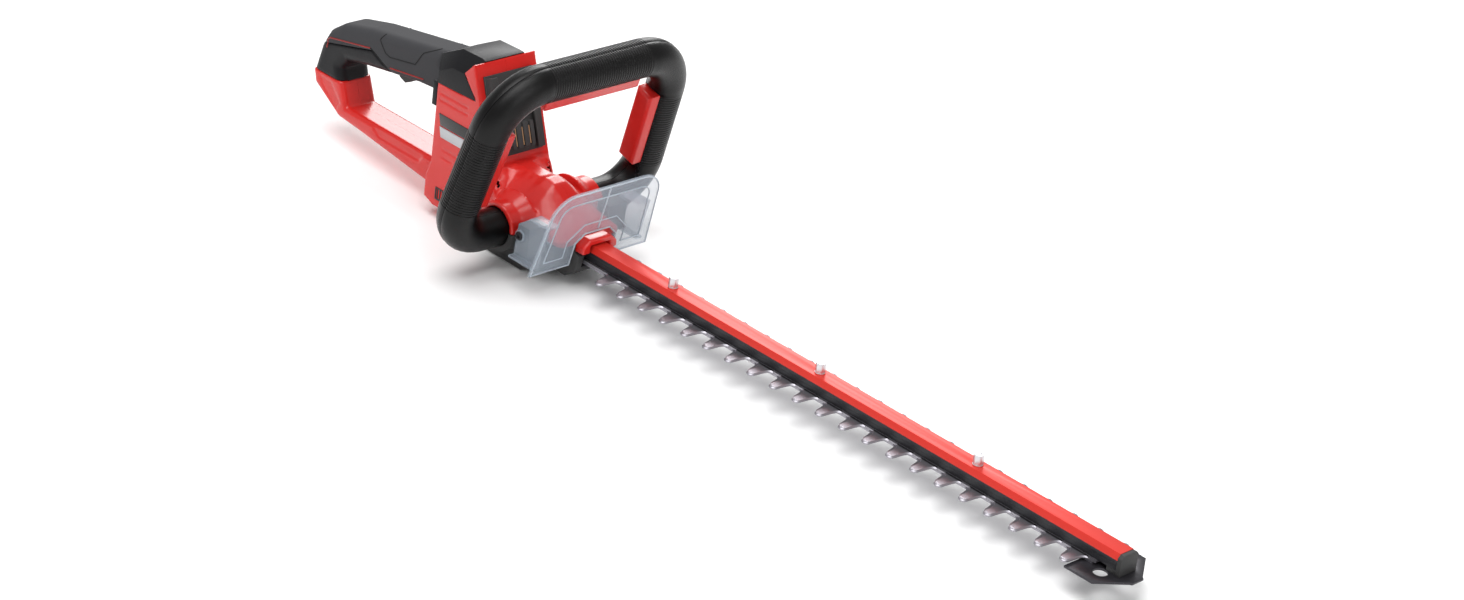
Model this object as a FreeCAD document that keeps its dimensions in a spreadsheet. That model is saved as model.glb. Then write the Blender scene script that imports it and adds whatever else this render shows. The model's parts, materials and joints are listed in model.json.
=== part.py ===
import FreeCAD, Part
import math
import os
import re
import Sketcher
from FreeCAD import Placement, Rotation, Vector

# Battery hedge trimmer, an assembly of separate pieces.
#
# Millimetres. +X runs forward along the blades, +Y is the tool's left side and +Z is up.
# X = 0 and Y = 0 is the crank's axis, and Z = 0 is the flat foot that the tool rests on.

# Driving dimensions: name, millimetres (or as noted) or formula, what it is.
DIMENSIONS = [
    ("wall", 3, "wall of the moulded shells"),
    ("fit_gap", 0.05, "radial clearance of a running fit"),
    ("part_gap", 0.3, "clearance between moulded pieces"),
    # Moulded body
    ("shell_half", 35.5, "half width of the tower and hood"),
    ("tower_back", -112, "rear face of the tower"),
    ("tower_top", 130, "flat top of the tower under the shroud"),
    ("tower_peak_x", -66.5, "top of the tower's front edge, along X"),
    ("tower_peak", 165, "top of the tower's front edge, height"),
    ("dock_foot_x", -35, "foot of the tower's front face, along X"),
    ("dock_floor", 78, "floor that the battery stands on"),
    ("keel", 12, "underside of the rear of the body"),
    ("hood_front", 66, "front of the hood"),
    ("hood_brow", 51, "height of the hood's front edge"),
    ("ridge_front", 20, "front end of the hood's ridge"),
    ("ridge_back", 9, "rear end of the hood's ridge"),
    ("ridge", 80, "height of the hood's ridge"),
    ("base_back", -56, "rear end of the base cover"),
    ("split", 41, "height where the shells meet the base cover, and the hoop's leg axis"),
    ("base_half", 36, "half width of the base cover"),
    ("foot_back", -31, "rear end of the foot"),
    ("foot_front", 17, "front end of the foot"),
    ("nose_half", 20, "half width of the nose"),
    ("nose_front", 79, "front of the nose cap"),
    ("nose_top", 50, "top of the nose cap"),
    ("edge_round", 7, "rounding of the hood's side edges"),
    ("handle_round", 5, "rounding of the handle bar's side edges"),
    ("grip_round", 9, "rounding of the grip's side edges"),
    ("handle_half", 19, "half width of the rear handle"),
    ("handle_back", -306, "rear of the handle"),
    ("handle_low", 31, "underside of the handle at its rear"),
    ("bar_top", 44, "top of the handle's lower bar"),
    ("grip_joint", 66, "height where the grip starts on the post"),
    ("core_half", 14, "half width of the shells' core in the grip"),
    ("shroud_top", 166, "top of the tower shroud"),
    # Front hoop
    ("tube", 17.5, "radius of the hoop's tube"),
    ("tube_wall", 2.5, "wall of the hoop's tube"),
    ("hoop_x", 1.3, "leg axis, along X"),
    ("hoop_lean", 15.6, "forward lean in degrees"),
    ("hoop_rise", 160, "leg axis to top bar axis, along the lean"),
    ("hoop_low_half", 111.6, "half width at the leg axis"),
    ("hoop_top_half", 99.5, "half width at the top bar axis"),
    ("hoop_low_bend", 35, "radius of the lower bends"),
    ("hoop_top_bend", 45, "radius of the upper bends"),
    ("hoop_leg_end", 37, "inner end of the legs from the middle"),
    ("collar", 23, "outer radius of the collars round the legs"),
    ("collar_end", 55, "outer end of the collars from the middle"),
    ("bar_width", "=tube * 20 / 17.5", "width of a switch bar"),
    ("bar_lip", "=tube * 24 / 17.5", "width of the lip that keeps a switch bar in the tube"),
    ("bar_lip_back", "=tube * 4.6 / 17.5", "back of the lip from the tube's axis"),
    ("bar_lip_front", "=tube * 7.6 / 17.5", "front of the lip from the tube's axis"),
    ("bar_proud", 8, "switch bar outside the tube"),
    ("bar_travel", 4, "travel of a switch bar"),
    # Drive
    ("idler_x", -34, "idler axis, along X"),
    ("crank_gear_z", 36, "underside of the crank gear"),
    ("crank_gear_thick", 6, "crank gear"),
    ("idler_wheel_z", 43.5, "underside of the idler's wheel"),
    ("idler_wheel_thick", 5, "idler's wheel"),
    ("shaft", 4.5, "radius of the crank shaft"),
    ("throw", 7, "eccentric throw, half the stroke"),
    ("eccentric", 8, "radius of an eccentric"),
    ("case_floor", 30, "underside of the gear case"),
    ("case_top", 50, "top of the gear case"),
    ("case_wall", 2.7, "wall of the gear case"),
    ("motor", 18, "radius of the motor can"),
    ("motor_long", 46, "length of the motor can"),
    ("motor_shaft", 2.5, "radius of the motor shaft"),
    ("bearing", 9.5, "outer radius of the crank bearings"),
    ("bearing_wide", 5.5, "width of the crank bearings"),
    # Blades
    ("pitch", 27, "tooth pitch"),
    ("first_tooth", 110, "first right-hand tooth"),
    ("tooth_reach", 32.2, "tooth tip from the middle"),
    ("tooth_root", 11.6, "edge of the blade's spine from the middle"),
    ("tooth_tip", 4.4, "half width of a tooth's rounded tip"),
    ("blade", 1.8, "blade thickness"),
    ("blade_gap", 0.1, "clearance over and under a blade"),
    ("blade_shift", 1.5, "each blade's offset from mid stroke as modelled"),
    ("rail_seat", 28, "underside of the guide bar"),
    ("bar_end", 688, "front end of the guide bar"),
    ("rail_half", 9, "half width of the guide bar"),
    ("profile_half", 10, "half width of the rail profile"),
    ("cap_slant", 2.3, "slant of the rail cap's sides"),
    ("guide_bar_top", 33.4, "top of the guide bar"),
    ("profile_top", 37.4, "top of the rail profile"),
    ("cap_top", 42.9, "top of the rail cap"),
    ("first_bolt", 172, "first blade bolt"),
    ("bolt_step", 179, "distance between blade bolts"),
    ("bolt", 2.5, "radius of a blade bolt"),
    ("sleeve", 4, "radius of a bolt's sleeve"),
    ("nut_tall", 9.5, "blade nut above the rail cap"),
    ("plate_front", 703.5, "front of the tip plate"),
    ("plate_back", 655, "rear of the tip plate"),
    ("plate_half", 32.5, "half width of the tip plate"),
    ("plate_hole", 6, "radius of the holes in the tip plate"),
    ("plate_hole_x", 678, "holes in the tip plate, along X"),
    ("plate_hole_y", 15.5, "holes in the tip plate, from the middle"),
    # Guard
    ("guard", 2.5, "guard thickness"),
    ("guard_x", 63, "lower edge of the guard, along X"),
    ("guard_low", 23, "lower edge of the guard"),
    ("guard_tall", 82, "guard height along its lean"),
    ("guard_lean", 13.7, "forward lean in degrees"),
    ("guard_low_half", 69, "half width at the lower edge"),
    ("guard_top_half", 63.4, "half width at the upper edge"),
    ("guard_round", 24, "radius of the upper corners"),
    ("bracket_y", 60, "outer face of the guard's side brackets"),
    ("guard_screw_x", 40, "guard screws, along X"),
    ("guard_screw_z", 50, "guard screws, height"),
    # Trigger
    ("trigger_half", 8, "half width of the trigger"),
    ("trigger_pin_x", -150, "trigger pin, along X"),
    ("trigger_pin_z", 118, "trigger pin, height"),
    ("pin", 2, "radius of the trigger pin"),
]
TEETH_CRANK = 52
TEETH_IDLER_PINION = 16
TEETH_IDLER_WHEEL = 54
TEETH_MOTOR_PINION = 12
RIGHT_TEETH = 21
LEFT_TEETH = 22
BOLTS = 3

doc = FreeCAD.newDocument("HedgeTrimmer")
sheet = doc.addObject("Spreadsheet::Sheet", "Sizes")
for row, (alias, number, note) in enumerate(DIMENSIONS, start=1):
    sheet.set(f"A{row}", alias)
    sheet.set(f"B{row}", str(number))
    sheet.set(f"C{row}", note)
    sheet.setAlias(f"B{row}", alias)
doc.recompute()


class Size:
    """A length with the sheet formula that gives it, so that an object can be bound to it."""

    def __init__(self, number, formula):
        self.number = float(number)
        self.formula = formula

    def __add__(self, other):
        other = size(other)
        return Size(self.number + other.number, f"({self.formula} + {other.formula})")

    def __sub__(self, other):
        other = size(other)
        return Size(self.number - other.number, f"({self.formula} - {other.formula})")

    def __mul__(self, other):
        other = size(other)
        return Size(self.number * other.number, f"({self.formula} * {other.formula})")

    def __truediv__(self, other):
        other = size(other)
        return Size(self.number / other.number, f"({self.formula} / {other.formula})")

    def __neg__(self):
        return Size(-self.number, f"(0 - {self.formula})")

    def __radd__(self, other):
        return size(other) + self

    def __rsub__(self, other):
        return size(other) - self

    def __rmul__(self, other):
        return size(other) * self

    def __float__(self):
        return self.number


def size(value):
    """A plain number as a Size."""
    return value if isinstance(value, Size) else Size(value, repr(float(value)))


class Sheet:
    """The sheet's dimensions by name, such as D.wall."""

    def __getattr__(self, alias):
        return Size(sheet.get(alias), f"Sizes.{alias}")


D = Sheet()
parts = []


def bind(obj, prop, value):
    """Binds a property to a size's formula."""
    obj.setExpression(prop, size(value).formula)


def keep(obj, name):
    """Marks an object as a finished sub-part, which gets a file of its own."""
    obj.Label = name
    parts.append(obj)
    return obj


# ---- PartDesign helpers ----

def new_body(name):
    body = doc.addObject("PartDesign::Body", name)
    body.Label = name
    return body


def new_sketch(body, plane, offset=0):
    """An empty sketch on one of the body's origin planes, moved along its normal."""
    sketch = body.newObject("Sketcher::SketchObject", body.Name + "_sketch")
    support = [f for f in body.Origin.OriginFeatures if f.Role == plane][0]
    sketch.AttachmentSupport = [(support, "")]
    sketch.MapMode = "FlatFace"
    bind(sketch, "AttachmentOffset.Base.z", offset)
    return sketch


def place_point(sketch, edge, end, x, y):
    """Holds one end of an edge at a place given by two sizes."""
    for kind, value in (("DistanceX", x), ("DistanceY", y)):
        rule = sketch.addConstraint(Sketcher.Constraint(kind, -1, 1, edge, end, size(value).number))
        bind(sketch, f"Constraints[{rule}]", value)


def draw_outline(sketch, points):
    """A closed outline of straight edges through points given as sizes."""
    first = sketch.GeometryCount
    corners = [Vector(float(size(x)), float(size(y)), 0) for x, y in points]
    count = len(corners)
    for i in range(count):
        sketch.addGeometry(Part.LineSegment(corners[i], corners[(i + 1) % count]))
    for i in range(count):
        following = first + (i + 1) % count
        sketch.addConstraint(Sketcher.Constraint("Coincident", first + i, 2, following, 1))
        place_point(sketch, first + i, 1, *points[i])


def draw_circle(sketch, x, y, radius):
    centre = Vector(float(size(x)), float(size(y)), 0)
    edge = sketch.addGeometry(Part.Circle(centre, Vector(0, 0, 1), float(size(radius))))
    place_point(sketch, edge, 3, x, y)
    rule = sketch.addConstraint(Sketcher.Constraint("Radius", edge, size(radius).number))
    bind(sketch, f"Constraints[{rule}]", radius)


def mirror_points(points):
    """An outline given for one side of the sketch's vertical axis, completed on the other."""
    return points + [(-size(x), y) for x, y in reversed(points)]


def outline_sketch(body, plane, points, offset=0):
    sketch = new_sketch(body, plane, offset)
    draw_outline(sketch, points)
    return sketch


def circle_sketch(body, plane, circles, offset=0):
    sketch = new_sketch(body, plane, offset)
    for x, y, radius in circles:
        draw_circle(sketch, x, y, radius)
    return sketch


def add_pad(body, sketch, length, midplane=False, reverse=False):
    feature = body.newObject("PartDesign::Pad", body.Name + "_pad")
    feature.Profile = sketch
    feature.Midplane = midplane
    feature.Reversed = reverse
    bind(feature, "Length", length)
    doc.recompute()
    return feature


def add_pocket(body, sketch, length, midplane=False, reverse=False):
    """Cuts a sketch into the body, and checks that something came away."""
    before = body.Shape.Volume
    feature = body.newObject("PartDesign::Pocket", body.Name + "_pocket")
    feature.Profile = sketch
    feature.Midplane = midplane
    feature.Reversed = reverse
    bind(feature, "Length", length)
    doc.recompute()
    if not body.Shape.Volume < before:
        raise RuntimeError(f"a pocket in {body.Label} cuts nothing")
    return feature


def round_edges(body, radius, wanted, kind="PartDesign::Fillet"):
    """Rounds or chamfers the edges of the body's tip that the test picks."""
    base = body.Tip
    names = [f"Edge{i}" for i, edge in enumerate(base.Shape.Edges, start=1) if wanted(edge)]
    feature = body.newObject(kind, body.Name + "_round")
    feature.Base = (base, names)
    bind(feature, "Radius" if kind.endswith("Fillet") else "Size", radius)
    doc.recompute()
    if "Invalid" in feature.State:
        raise RuntimeError(f"the edges of {body.Label} can't be rounded: {names}")
    return feature


def repeat_along_x(body, feature, count, step):
    """Repeats a feature along X."""
    pattern = body.newObject("PartDesign::LinearPattern", body.Name + "_row")
    pattern.Originals = [feature]
    axis = [f for f in body.Origin.OriginFeatures if f.Role == "X_Axis"][0]
    pattern.Direction = (axis, [""])
    pattern.Occurrences = count
    bind(pattern, "Length", step * (count - 1))
    body.Tip = pattern
    doc.recompute()
    return pattern


def side_plate(name, points, half):
    """A body with a side outline (X, Z), padded evenly to both sides of the middle."""
    body = new_body(name)
    add_pad(body, outline_sketch(body, "XZ_Plane", points), half * 2, midplane=True)
    return body


def flat_plate(name, points, low, thickness):
    """A body with a plan outline (X, Y), from a height upwards."""
    body = new_body(name)
    add_pad(body, outline_sketch(body, "XY_Plane", points, low), thickness)
    return body


# ---- Part helpers ----

TURN = {
    "X": Rotation(Vector(0, 1, 0), 90),
    "Y": Rotation(Vector(1, 0, 0), -90),
    "Z": Rotation(),
}


def put(obj, x, y, z):
    for letter, value in zip("xyz", (x, y, z)):
        bind(obj, f"Placement.Base.{letter}", value)


def box(name, low, high):
    """A block between two corners."""
    obj = doc.addObject("Part::Box", name)
    for prop, a, b in zip(("Length", "Width", "Height"), low, high):
        bind(obj, prop, size(b) - size(a))
    put(obj, *low)
    return obj


def rod(name, x, y, z, radius, length, axis="Z"):
    """A cylinder that starts at a point and runs along an axis."""
    obj = doc.addObject("Part::Cylinder", name)
    obj.Placement = Placement(Vector(), TURN[axis])
    bind(obj, "Radius", radius)
    bind(obj, "Height", length)
    put(obj, x, y, z)
    return obj


def hexagon(name, x, y, z, across_flats, length):
    obj = doc.addObject("Part::Prism", name)
    obj.Polygon = 6
    bind(obj, "Circumradius", across_flats / math.sqrt(3))
    bind(obj, "Height", length)
    put(obj, x, y, z)
    return obj


def fuse(name, shapes):
    obj = doc.addObject("Part::MultiFuse", name)
    obj.Shapes = shapes
    return obj


def cut(name, base, tool):
    obj = doc.addObject("Part::Cut", name)
    obj.Base = base
    obj.Tool = tool
    return obj


def cut_all(name, base, tools):
    return cut(name, base, tools[0] if len(tools) == 1 else fuse(name + "_tools", tools))


def common(name, base, tool):
    obj = doc.addObject("Part::Common", name)
    obj.Base = base
    obj.Tool = tool
    return obj


def group(name, shapes):
    """Identical or paired pieces that share one node, as separate solids."""
    obj = doc.addObject("Part::Compound", name)
    obj.Links = shapes
    return obj


def mirrored(name, source):
    """The same piece on the other side of the middle."""
    obj = doc.addObject("Part::Mirroring", name)
    obj.Source = source
    obj.Base = Vector(0, 0, 0)
    obj.Normal = Vector(0, 1, 0)
    return obj


def ring(name, x, y, z, outer, inner, length, axis="Z"):
    reach = 1
    hole_start = [size(x), size(y), size(z)]
    index = "XYZ".index(axis)
    hole_start[index] = hole_start[index] - reach
    body = rod(name + "_outer", x, y, z, outer, length, axis)
    hole = rod(name + "_hole", *hole_start, inner, size(length) + 2 * reach, axis)
    return cut(name, body, hole)


def shaped(name, shape, placement=None):
    """A sub-part whose shape is made here in code."""
    obj = doc.addObject("Part::Feature", name)
    obj.Shape = shape
    if placement is not None:
        obj.Placement = placement
    return obj


def at_side(edge, y):
    return all(abs(v.Y - y) < 1e-4 for v in edge.Vertexes)


def lies_at(edge, z):
    return all(abs(v.Z - z) < 1e-4 for v in edge.Vertexes)


# ---- Outlines that several pieces share ----

def front_face_x(height):
    """X of the tower's leaning front face at a height."""
    lean = (D.tower_peak_x - D.dock_foot_x) / (D.tower_peak - D.dock_floor)
    return D.dock_foot_x + (size(height) - D.dock_floor) * lean


BODY_SIDE = [
    (D.tower_back - 6, D.keel + 5),
    (D.tower_back + 8, D.keel),
    (D.base_back, D.keel),
    (D.base_back, D.split),
    (D.hood_front, D.split),
    (D.hood_front, D.hood_brow),
    (D.ridge_front, D.ridge - 2),
    (D.ridge_back, D.ridge),
    (D.ridge_back - 8, D.dock_floor),
    (D.dock_foot_x, D.dock_floor),
    (D.tower_peak_x, D.tower_peak),
    (D.tower_peak_x - 12.5, D.tower_peak - 13),
    (D.tower_peak_x + 6.5, D.tower_top + 2),
    (D.tower_back, D.tower_top),
    (D.tower_back, D.bar_top + 10),
    (D.tower_back - 6, D.bar_top - 6),
]
BODY_INSIDE = [
    (D.tower_back + D.wall, D.keel + D.wall),
    (D.base_back + 1, D.keel + D.wall),
    (D.base_back + 1, D.split - 1),
    (D.hood_front - D.wall, D.split - 1),
    (D.hood_front - D.wall, D.hood_brow - D.wall),
    (D.ridge_front - D.wall + 0.5, D.ridge - 2 - D.wall),
    (D.ridge_back + 2, D.ridge - D.wall),
    (D.ridge_back - 6, D.dock_floor - D.wall),
    (D.dock_foot_x - D.wall, D.dock_floor - D.wall),
    (front_face_x(D.tower_top - D.wall) - D.wall * 1.1, D.tower_top - D.wall),
    (D.tower_back + D.wall, D.tower_top - D.wall),
]
# The rear post and lower bar, and the core that carries on through the grip to the tower.
HANDLE_SIDE = [
    (D.tower_back + 2, D.keel + 3),
    (D.handle_back + 172, D.keel + 6),
    (D.handle_back + 72, D.handle_low - 2.5),
    (D.handle_back + 41, D.handle_low),
    (D.handle_back + 4, D.handle_low + 21),
    (D.handle_back, D.grip_joint),
    (D.handle_back + 42, D.grip_joint),
    (D.handle_back + 51, D.bar_top),
    (D.tower_back + 2, D.bar_top),
]
GRIP_TOP = [
    (D.tower_back, D.tower_top),
    (D.tower_back - 14, D.tower_top + 3),
    (D.tower_back - 14, D.tower_top + 20),
    (D.handle_back + 145, D.tower_top + 14),
    (D.handle_back + 73, D.tower_top + 1.6),
    (D.handle_back + 35, D.tower_top - 8),
    (D.handle_back + 18, D.tower_top - 20),
    (D.handle_back + 8, D.tower_top - 37),
    (D.handle_back, D.grip_joint),
]
GRIP_BOTTOM = [
    (D.handle_back + 42, D.grip_joint),
    (D.handle_back + 38, D.grip_joint + 12),
    (D.handle_back + 46, D.grip_joint + 22),
    (D.handle_back + 73, D.grip_joint + 28),
    (D.handle_back + 145, D.grip_joint + 40),
    (D.tower_back, D.grip_joint + 44),
]
CORE_SIDE = [
    (D.tower_back + 1, D.tower_top - 4),
    (D.tower_back - 17, D.tower_top - 1),
    (D.handle_back + 145, D.tower_top + 7),
    (D.handle_back + 73, D.tower_top - 5),
    (D.handle_back + 38, D.tower_top - 15),
    (D.handle_back + 20, D.tower_top - 31),
    (D.handle_back + 11, D.grip_joint),
    (D.handle_back + 31, D.grip_joint),
    (D.handle_back + 28, D.grip_joint + 14),
    (D.handle_back + 40, D.grip_joint + 27),
    (D.handle_back + 73, D.grip_joint + 35),
    (D.handle_back + 145, D.grip_joint + 47),
    (D.tower_back + 1, D.grip_joint + 49),
]
TRIGGER_ROOM = [
    (D.trigger_pin_x - 50, D.trigger_pin_z - 32),
    (D.trigger_pin_x - 50, D.trigger_pin_z + 1),
    (D.trigger_pin_x - 45, D.trigger_pin_z + 8),
    (D.trigger_pin_x + 5, D.trigger_pin_z + 12),
    (D.trigger_pin_x + 6, D.trigger_pin_z - 32),
]
BASE_SCREWS = [(-20, -28), (-20, 28), (12, -14), (12, 14)]


# ---- Moulded shells ----

def make_housing():
    """The red shells: tower, hood, collars, handle bar, post and grip core, split at the middle."""
    body = new_body("tool_housing_right")
    add_pad(body, outline_sketch(body, "XZ_Plane", BODY_SIDE), D.shell_half)
    outer = -float(D.shell_half)
    hood_back = float(D.dock_foot_x) + 1
    round_edges(body, D.edge_round, lambda e: at_side(e, outer) and e.BoundBox.XMax > hood_back
                and e.BoundBox.ZMax > float(D.split) + 1 and e.BoundBox.ZMax < float(D.ridge) + 1)
    collar = circle_sketch(body, "XZ_Plane", [(D.hoop_x, D.split, D.collar)])
    add_pad(body, collar, D.collar_end)
    add_pocket(body, outline_sketch(body, "XZ_Plane", BODY_INSIDE), D.shell_half - D.wall, reverse=True)
    handle = new_body("tool_handle_right")
    add_pad(handle, outline_sketch(handle, "XZ_Plane", HANDLE_SIDE), D.handle_half)
    bar = -float(D.handle_half)
    free_end = float(D.tower_back) - 1
    round_edges(handle, D.handle_round, lambda e: at_side(e, bar) and e.BoundBox.XMin < free_end
                and not lies_at(e, float(D.grip_joint)))
    hollow = [
        (D.tower_back - 10, D.keel + D.wall + 8),
        (D.handle_back + 50, D.handle_low + D.wall + 1),
        (D.handle_back + 53, D.bar_top - D.wall),
        (D.tower_back - 10, D.bar_top - D.wall),
    ]
    add_pocket(handle, outline_sketch(handle, "XZ_Plane", hollow), D.handle_half - D.wall, reverse=True)
    core = new_body("tool_core_right")
    add_pad(core, outline_sketch(core, "XZ_Plane", CORE_SIDE), D.core_half)
    add_pocket(core, outline_sketch(core, "XZ_Plane", TRIGGER_ROOM), D.trigger_half + D.part_gap * 2,
               reverse=True)
    solid = fuse("tool_right_solid", [body, handle, core])
    leg = rod("tool_leg", D.hoop_x, -D.collar_end - 1, D.split, D.tube + D.part_gap,
              D.collar_end - D.shell_half + D.wall + 2, "Y")
    bore = rod("tool_bore", D.hoop_x, -D.shell_half, D.split, D.tube + D.part_gap, D.wall * 2, "Y")
    below = box("tool_below", (D.base_back, -D.collar_end - 2, D.keel - 20),
                (D.hood_front + 10, 1, D.split))
    pin_hole = rod("tool_trigger_pin_hole", D.trigger_pin_x, -D.trigger_half - 4, D.trigger_pin_z,
                   D.pin + D.fit_gap, D.trigger_half + 6, "Y")
    right = cut_all("housing_right", solid, [leg, bore, below, pin_hole])
    keep(right, "housing_right")
    keep(mirrored("housing_left", right), "housing_left")


def make_grip():
    """The soft grip over the shells' core, its harder underside, and the trim behind the tower."""
    grip = side_plate("tool_grip", GRIP_TOP + GRIP_BOTTOM, D.handle_half)
    side = float(D.handle_half)
    front = float(D.tower_back) - 1
    round_edges(grip, D.grip_round, lambda e: (at_side(e, side) or at_side(e, -side))
                and not lies_at(e, float(D.grip_joint)) and e.BoundBox.XMax < front + 0.5)
    core = side_plate("tool_grip_core", CORE_SIDE, D.core_half)
    room = side_plate("tool_grip_room", TRIGGER_ROOM, D.trigger_half + D.part_gap * 2)
    sleeve = cut_all("tool_grip_sleeve", grip, [core, room])
    low_side = [
        (D.handle_back - 5, D.grip_joint - 5),
        (D.handle_back - 5, D.tower_top - 39),
        (D.handle_back + 83, D.tower_top - 16),
        (D.handle_back + 106, D.tower_top - 26),
        (D.handle_back + 106, D.grip_joint - 5),
    ]
    lower = side_plate("tool_grip_low_side", low_side, D.handle_half + 5)
    keep(cut("rear_grip", sleeve, lower), "rear_grip")
    keep(common("rear_grip_underside", sleeve, lower), "rear_grip_underside")
    trim_top = D.tower_top
    strip = box("tool_trim", (D.tower_back - 6, -D.shell_half, trim_top - 23),
                (D.tower_back, D.shell_half, trim_top))
    gap = box("tool_trim_gap", (D.tower_back - 7, -D.handle_half - D.part_gap, trim_top - 21),
              (D.tower_back + 1, D.handle_half + D.part_gap, trim_top + 1))
    keep(cut("tower_trim", strip, gap), "tower_trim")


def make_shroud():
    """The black cap on the tower, bevelled along both upper sides."""
    points = [
        (D.tower_back, D.tower_top),
        (D.tower_peak_x + 6.5, D.tower_top + 2),
        (D.tower_peak_x - 12.5, D.tower_peak - 13),
        (D.tower_peak_x, D.tower_peak),
        (D.tower_peak_x - 5, D.shroud_top),
        (D.tower_back + 14, D.shroud_top - 1),
        (D.tower_back - 14, D.tower_top + 20),
        (D.tower_back - 14, D.tower_top + 3),
    ]
    shroud = side_plate("tower_shroud", points, D.shell_half)
    half = float(D.shell_half)
    ledge = float(D.tower_top) + 10
    round_edges(shroud, 14, lambda e: (at_side(e, half) or at_side(e, -half)) and e.BoundBox.ZMax > ledge
                and e.BoundBox.XMax < float(D.tower_peak_x) - 4, "PartDesign::Chamfer")
    keep(shroud, "tower_shroud")


def make_base():
    """The black base cover: tray, nose, lower halves of the collars and lugs for the guard."""
    body = new_body("tool_base")
    tray = [
        (D.base_back, D.split),
        (D.base_back, D.keel),
        (D.foot_back, 0),
        (D.foot_front, 0),
        (D.foot_front + 28, D.keel),
        (D.hood_front - 6, D.keel + 16),
        (D.hood_front - 6, D.split),
    ]
    add_pad(body, outline_sketch(body, "XZ_Plane", tray), D.base_half * 2, midplane=True)
    half = float(D.base_half)
    round_edges(body, 2, lambda e: (at_side(e, half) or at_side(e, -half))
                and not lies_at(e, float(D.split)) and e.Length > 13, "PartDesign::Chamfer")
    nose = [
        (D.foot_front, D.split),
        (D.foot_front, D.keel),
        (D.hood_front - 8, D.keel - 3),
        (D.hood_front + 4, D.keel + 4),
        (D.nose_front - 5, D.split - 7),
        (D.hood_front, D.split - 5),
        (D.hood_front, D.split),
    ]
    add_pad(body, outline_sketch(body, "XZ_Plane", nose), D.nose_half * 2, midplane=True)
    add_pad(body, circle_sketch(body, "XZ_Plane", [(D.hoop_x, D.split, D.collar)]), D.collar_end * 2,
            midplane=True)
    inside = [
        (D.base_back + D.wall, D.split + D.collar + 1),
        (D.base_back + D.wall, D.keel + D.wall - 1),
        (D.foot_back + 1, D.wall),
        (D.foot_front - 1, D.wall),
        (D.foot_front + 26, D.keel + D.wall),
        (D.hood_front - 6 - D.wall, D.keel + 16 + D.wall),
        (D.hood_front - 6 - D.wall, D.split + D.collar + 1),
    ]
    add_pocket(body, outline_sketch(body, "XZ_Plane", inside), (D.base_half - D.wall) * 2, midplane=True)
    posts = [rod(f"tool_post_{i}", x, y, D.wall - 1, 4, D.case_floor - D.wall + 1) for i, (x, y) in
             enumerate([(10, -26), (10, 26), (D.idler_x - 12, -22), (D.idler_x - 12, 22)])]
    seat = rod("tool_bearing_boss", 0, 0, D.wall - 1, D.bearing + 4, 18)
    lugs = [box(f"tool_lug_{i}", (D.guard_screw_x - 7, low, D.keel + 20), (D.guard_screw_x + 8, high,
                                                                             D.guard_screw_z + 8))
            for i, (low, high) in enumerate([(D.base_half - 1, D.bracket_y - D.guard - D.part_gap),
                                             (-D.bracket_y + D.guard + D.part_gap, -D.base_half + 1)])]
    solid = fuse("tool_base_solid", [body, seat] + posts + lugs)
    tools = [
        box("tool_above_middle", (D.base_back - 1, -D.collar_end - 1, D.split),
            (D.guard_screw_x - 8, D.collar_end + 1, D.split + D.collar + 2)),
        box("tool_above_front", (D.guard_screw_x - 9, -D.base_half, D.split),
            (D.nose_front + 1, D.base_half, D.split + D.collar + 2)),
        rod("tool_legs", D.hoop_x, -D.collar_end - 1, D.split, D.tube + D.part_gap,
            D.collar_end * 2 + 2, "Y"),
        box("tool_blade_slot", (D.hood_front - 22, -D.tooth_root - 1.5, D.rail_seat - 7.5),
            (D.nose_front + 1, D.tooth_root + 1.5, D.split + 1)),
        rod("tool_bearing_seat", 0, 0, D.wall + 10.5, D.bearing + D.fit_gap, 20),
        rod("tool_shaft_room", 0, 0, D.wall + 1, D.bearing - 3, 20),
        box("tool_case_gap", (D.base_back - 1, -D.base_half + D.wall, D.case_floor - D.part_gap),
            (D.base_back + D.wall + 1, D.base_half - D.wall, D.split + 1)),
        rod("tool_guard_pilot", D.guard_screw_x, -D.bracket_y, D.guard_screw_z, 2 + D.fit_gap,
            D.bracket_y * 2, "Y"),
    ]
    tools += [rod(f"tool_base_recess_{i}", x, y, -1, 3.2, 2.8) for i, (x, y) in enumerate(BASE_SCREWS)]
    keep(cut_all("base_cover", solid, tools), "base_cover")


def make_nose_cap():
    """The red arch round the rail where it leaves the body."""
    body = new_body("nose_cap")
    arch = mirror_points([
        (-D.nose_half, D.split - 4),
        (-D.nose_half, D.nose_top - 7),
        (-D.nose_half + 8, D.nose_top),
    ]) + mirror_points([
        (D.profile_half + 0.8, D.split - 4),
        (D.profile_half + 0.8, D.cap_top + 1),
    ])
    sketch = new_sketch(body, "YZ_Plane", D.hood_front + 2)
    draw_outline(sketch, arch)
    add_pad(body, sketch, D.nose_front - D.hood_front - 2)
    front = float(D.nose_front)
    round_edges(body, 2, lambda e: all(abs(v.X - front) < 1e-4 for v in e.Vertexes)
                and e.BoundBox.ZMax > float(D.split) - 3)
    keep(body, "nose_cap")


def make_small_trim():
    """Vent inserts, blank label plates and the seal at the nose."""
    side = D.shell_half
    plates = [
        box("tool_plate_upper", (D.tower_back + 6, -side - 0.6, 92), (D.tower_back + 52, -side, 103)),
        box("tool_plate_lower", (D.tower_back + 8, -side - 0.6, 81), (D.tower_back + 50, -side, 91)),
    ]
    keep(group("label_plates", plates), "label_plates")
    slot = [box(f"tool_vent_{i}", (D.tower_back + 10, y, D.keel + 8), (D.tower_back + 30, y + 0.8,
                                                                       D.keel + 20))
            for i, y in enumerate([-side - 0.8, side])]
    keep(group("vent_inserts", slot), "vent_inserts")
    felt = box("tool_felt", (D.hood_front - 20, -D.tooth_root - 1, D.rail_seat - 7),
               (D.hood_front - 14, D.tooth_root + 1, D.rail_seat - D.blade * 2 - D.blade_gap * 4))
    keep(felt, "blade_wiper")


# ---- Front hoop ----

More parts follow.
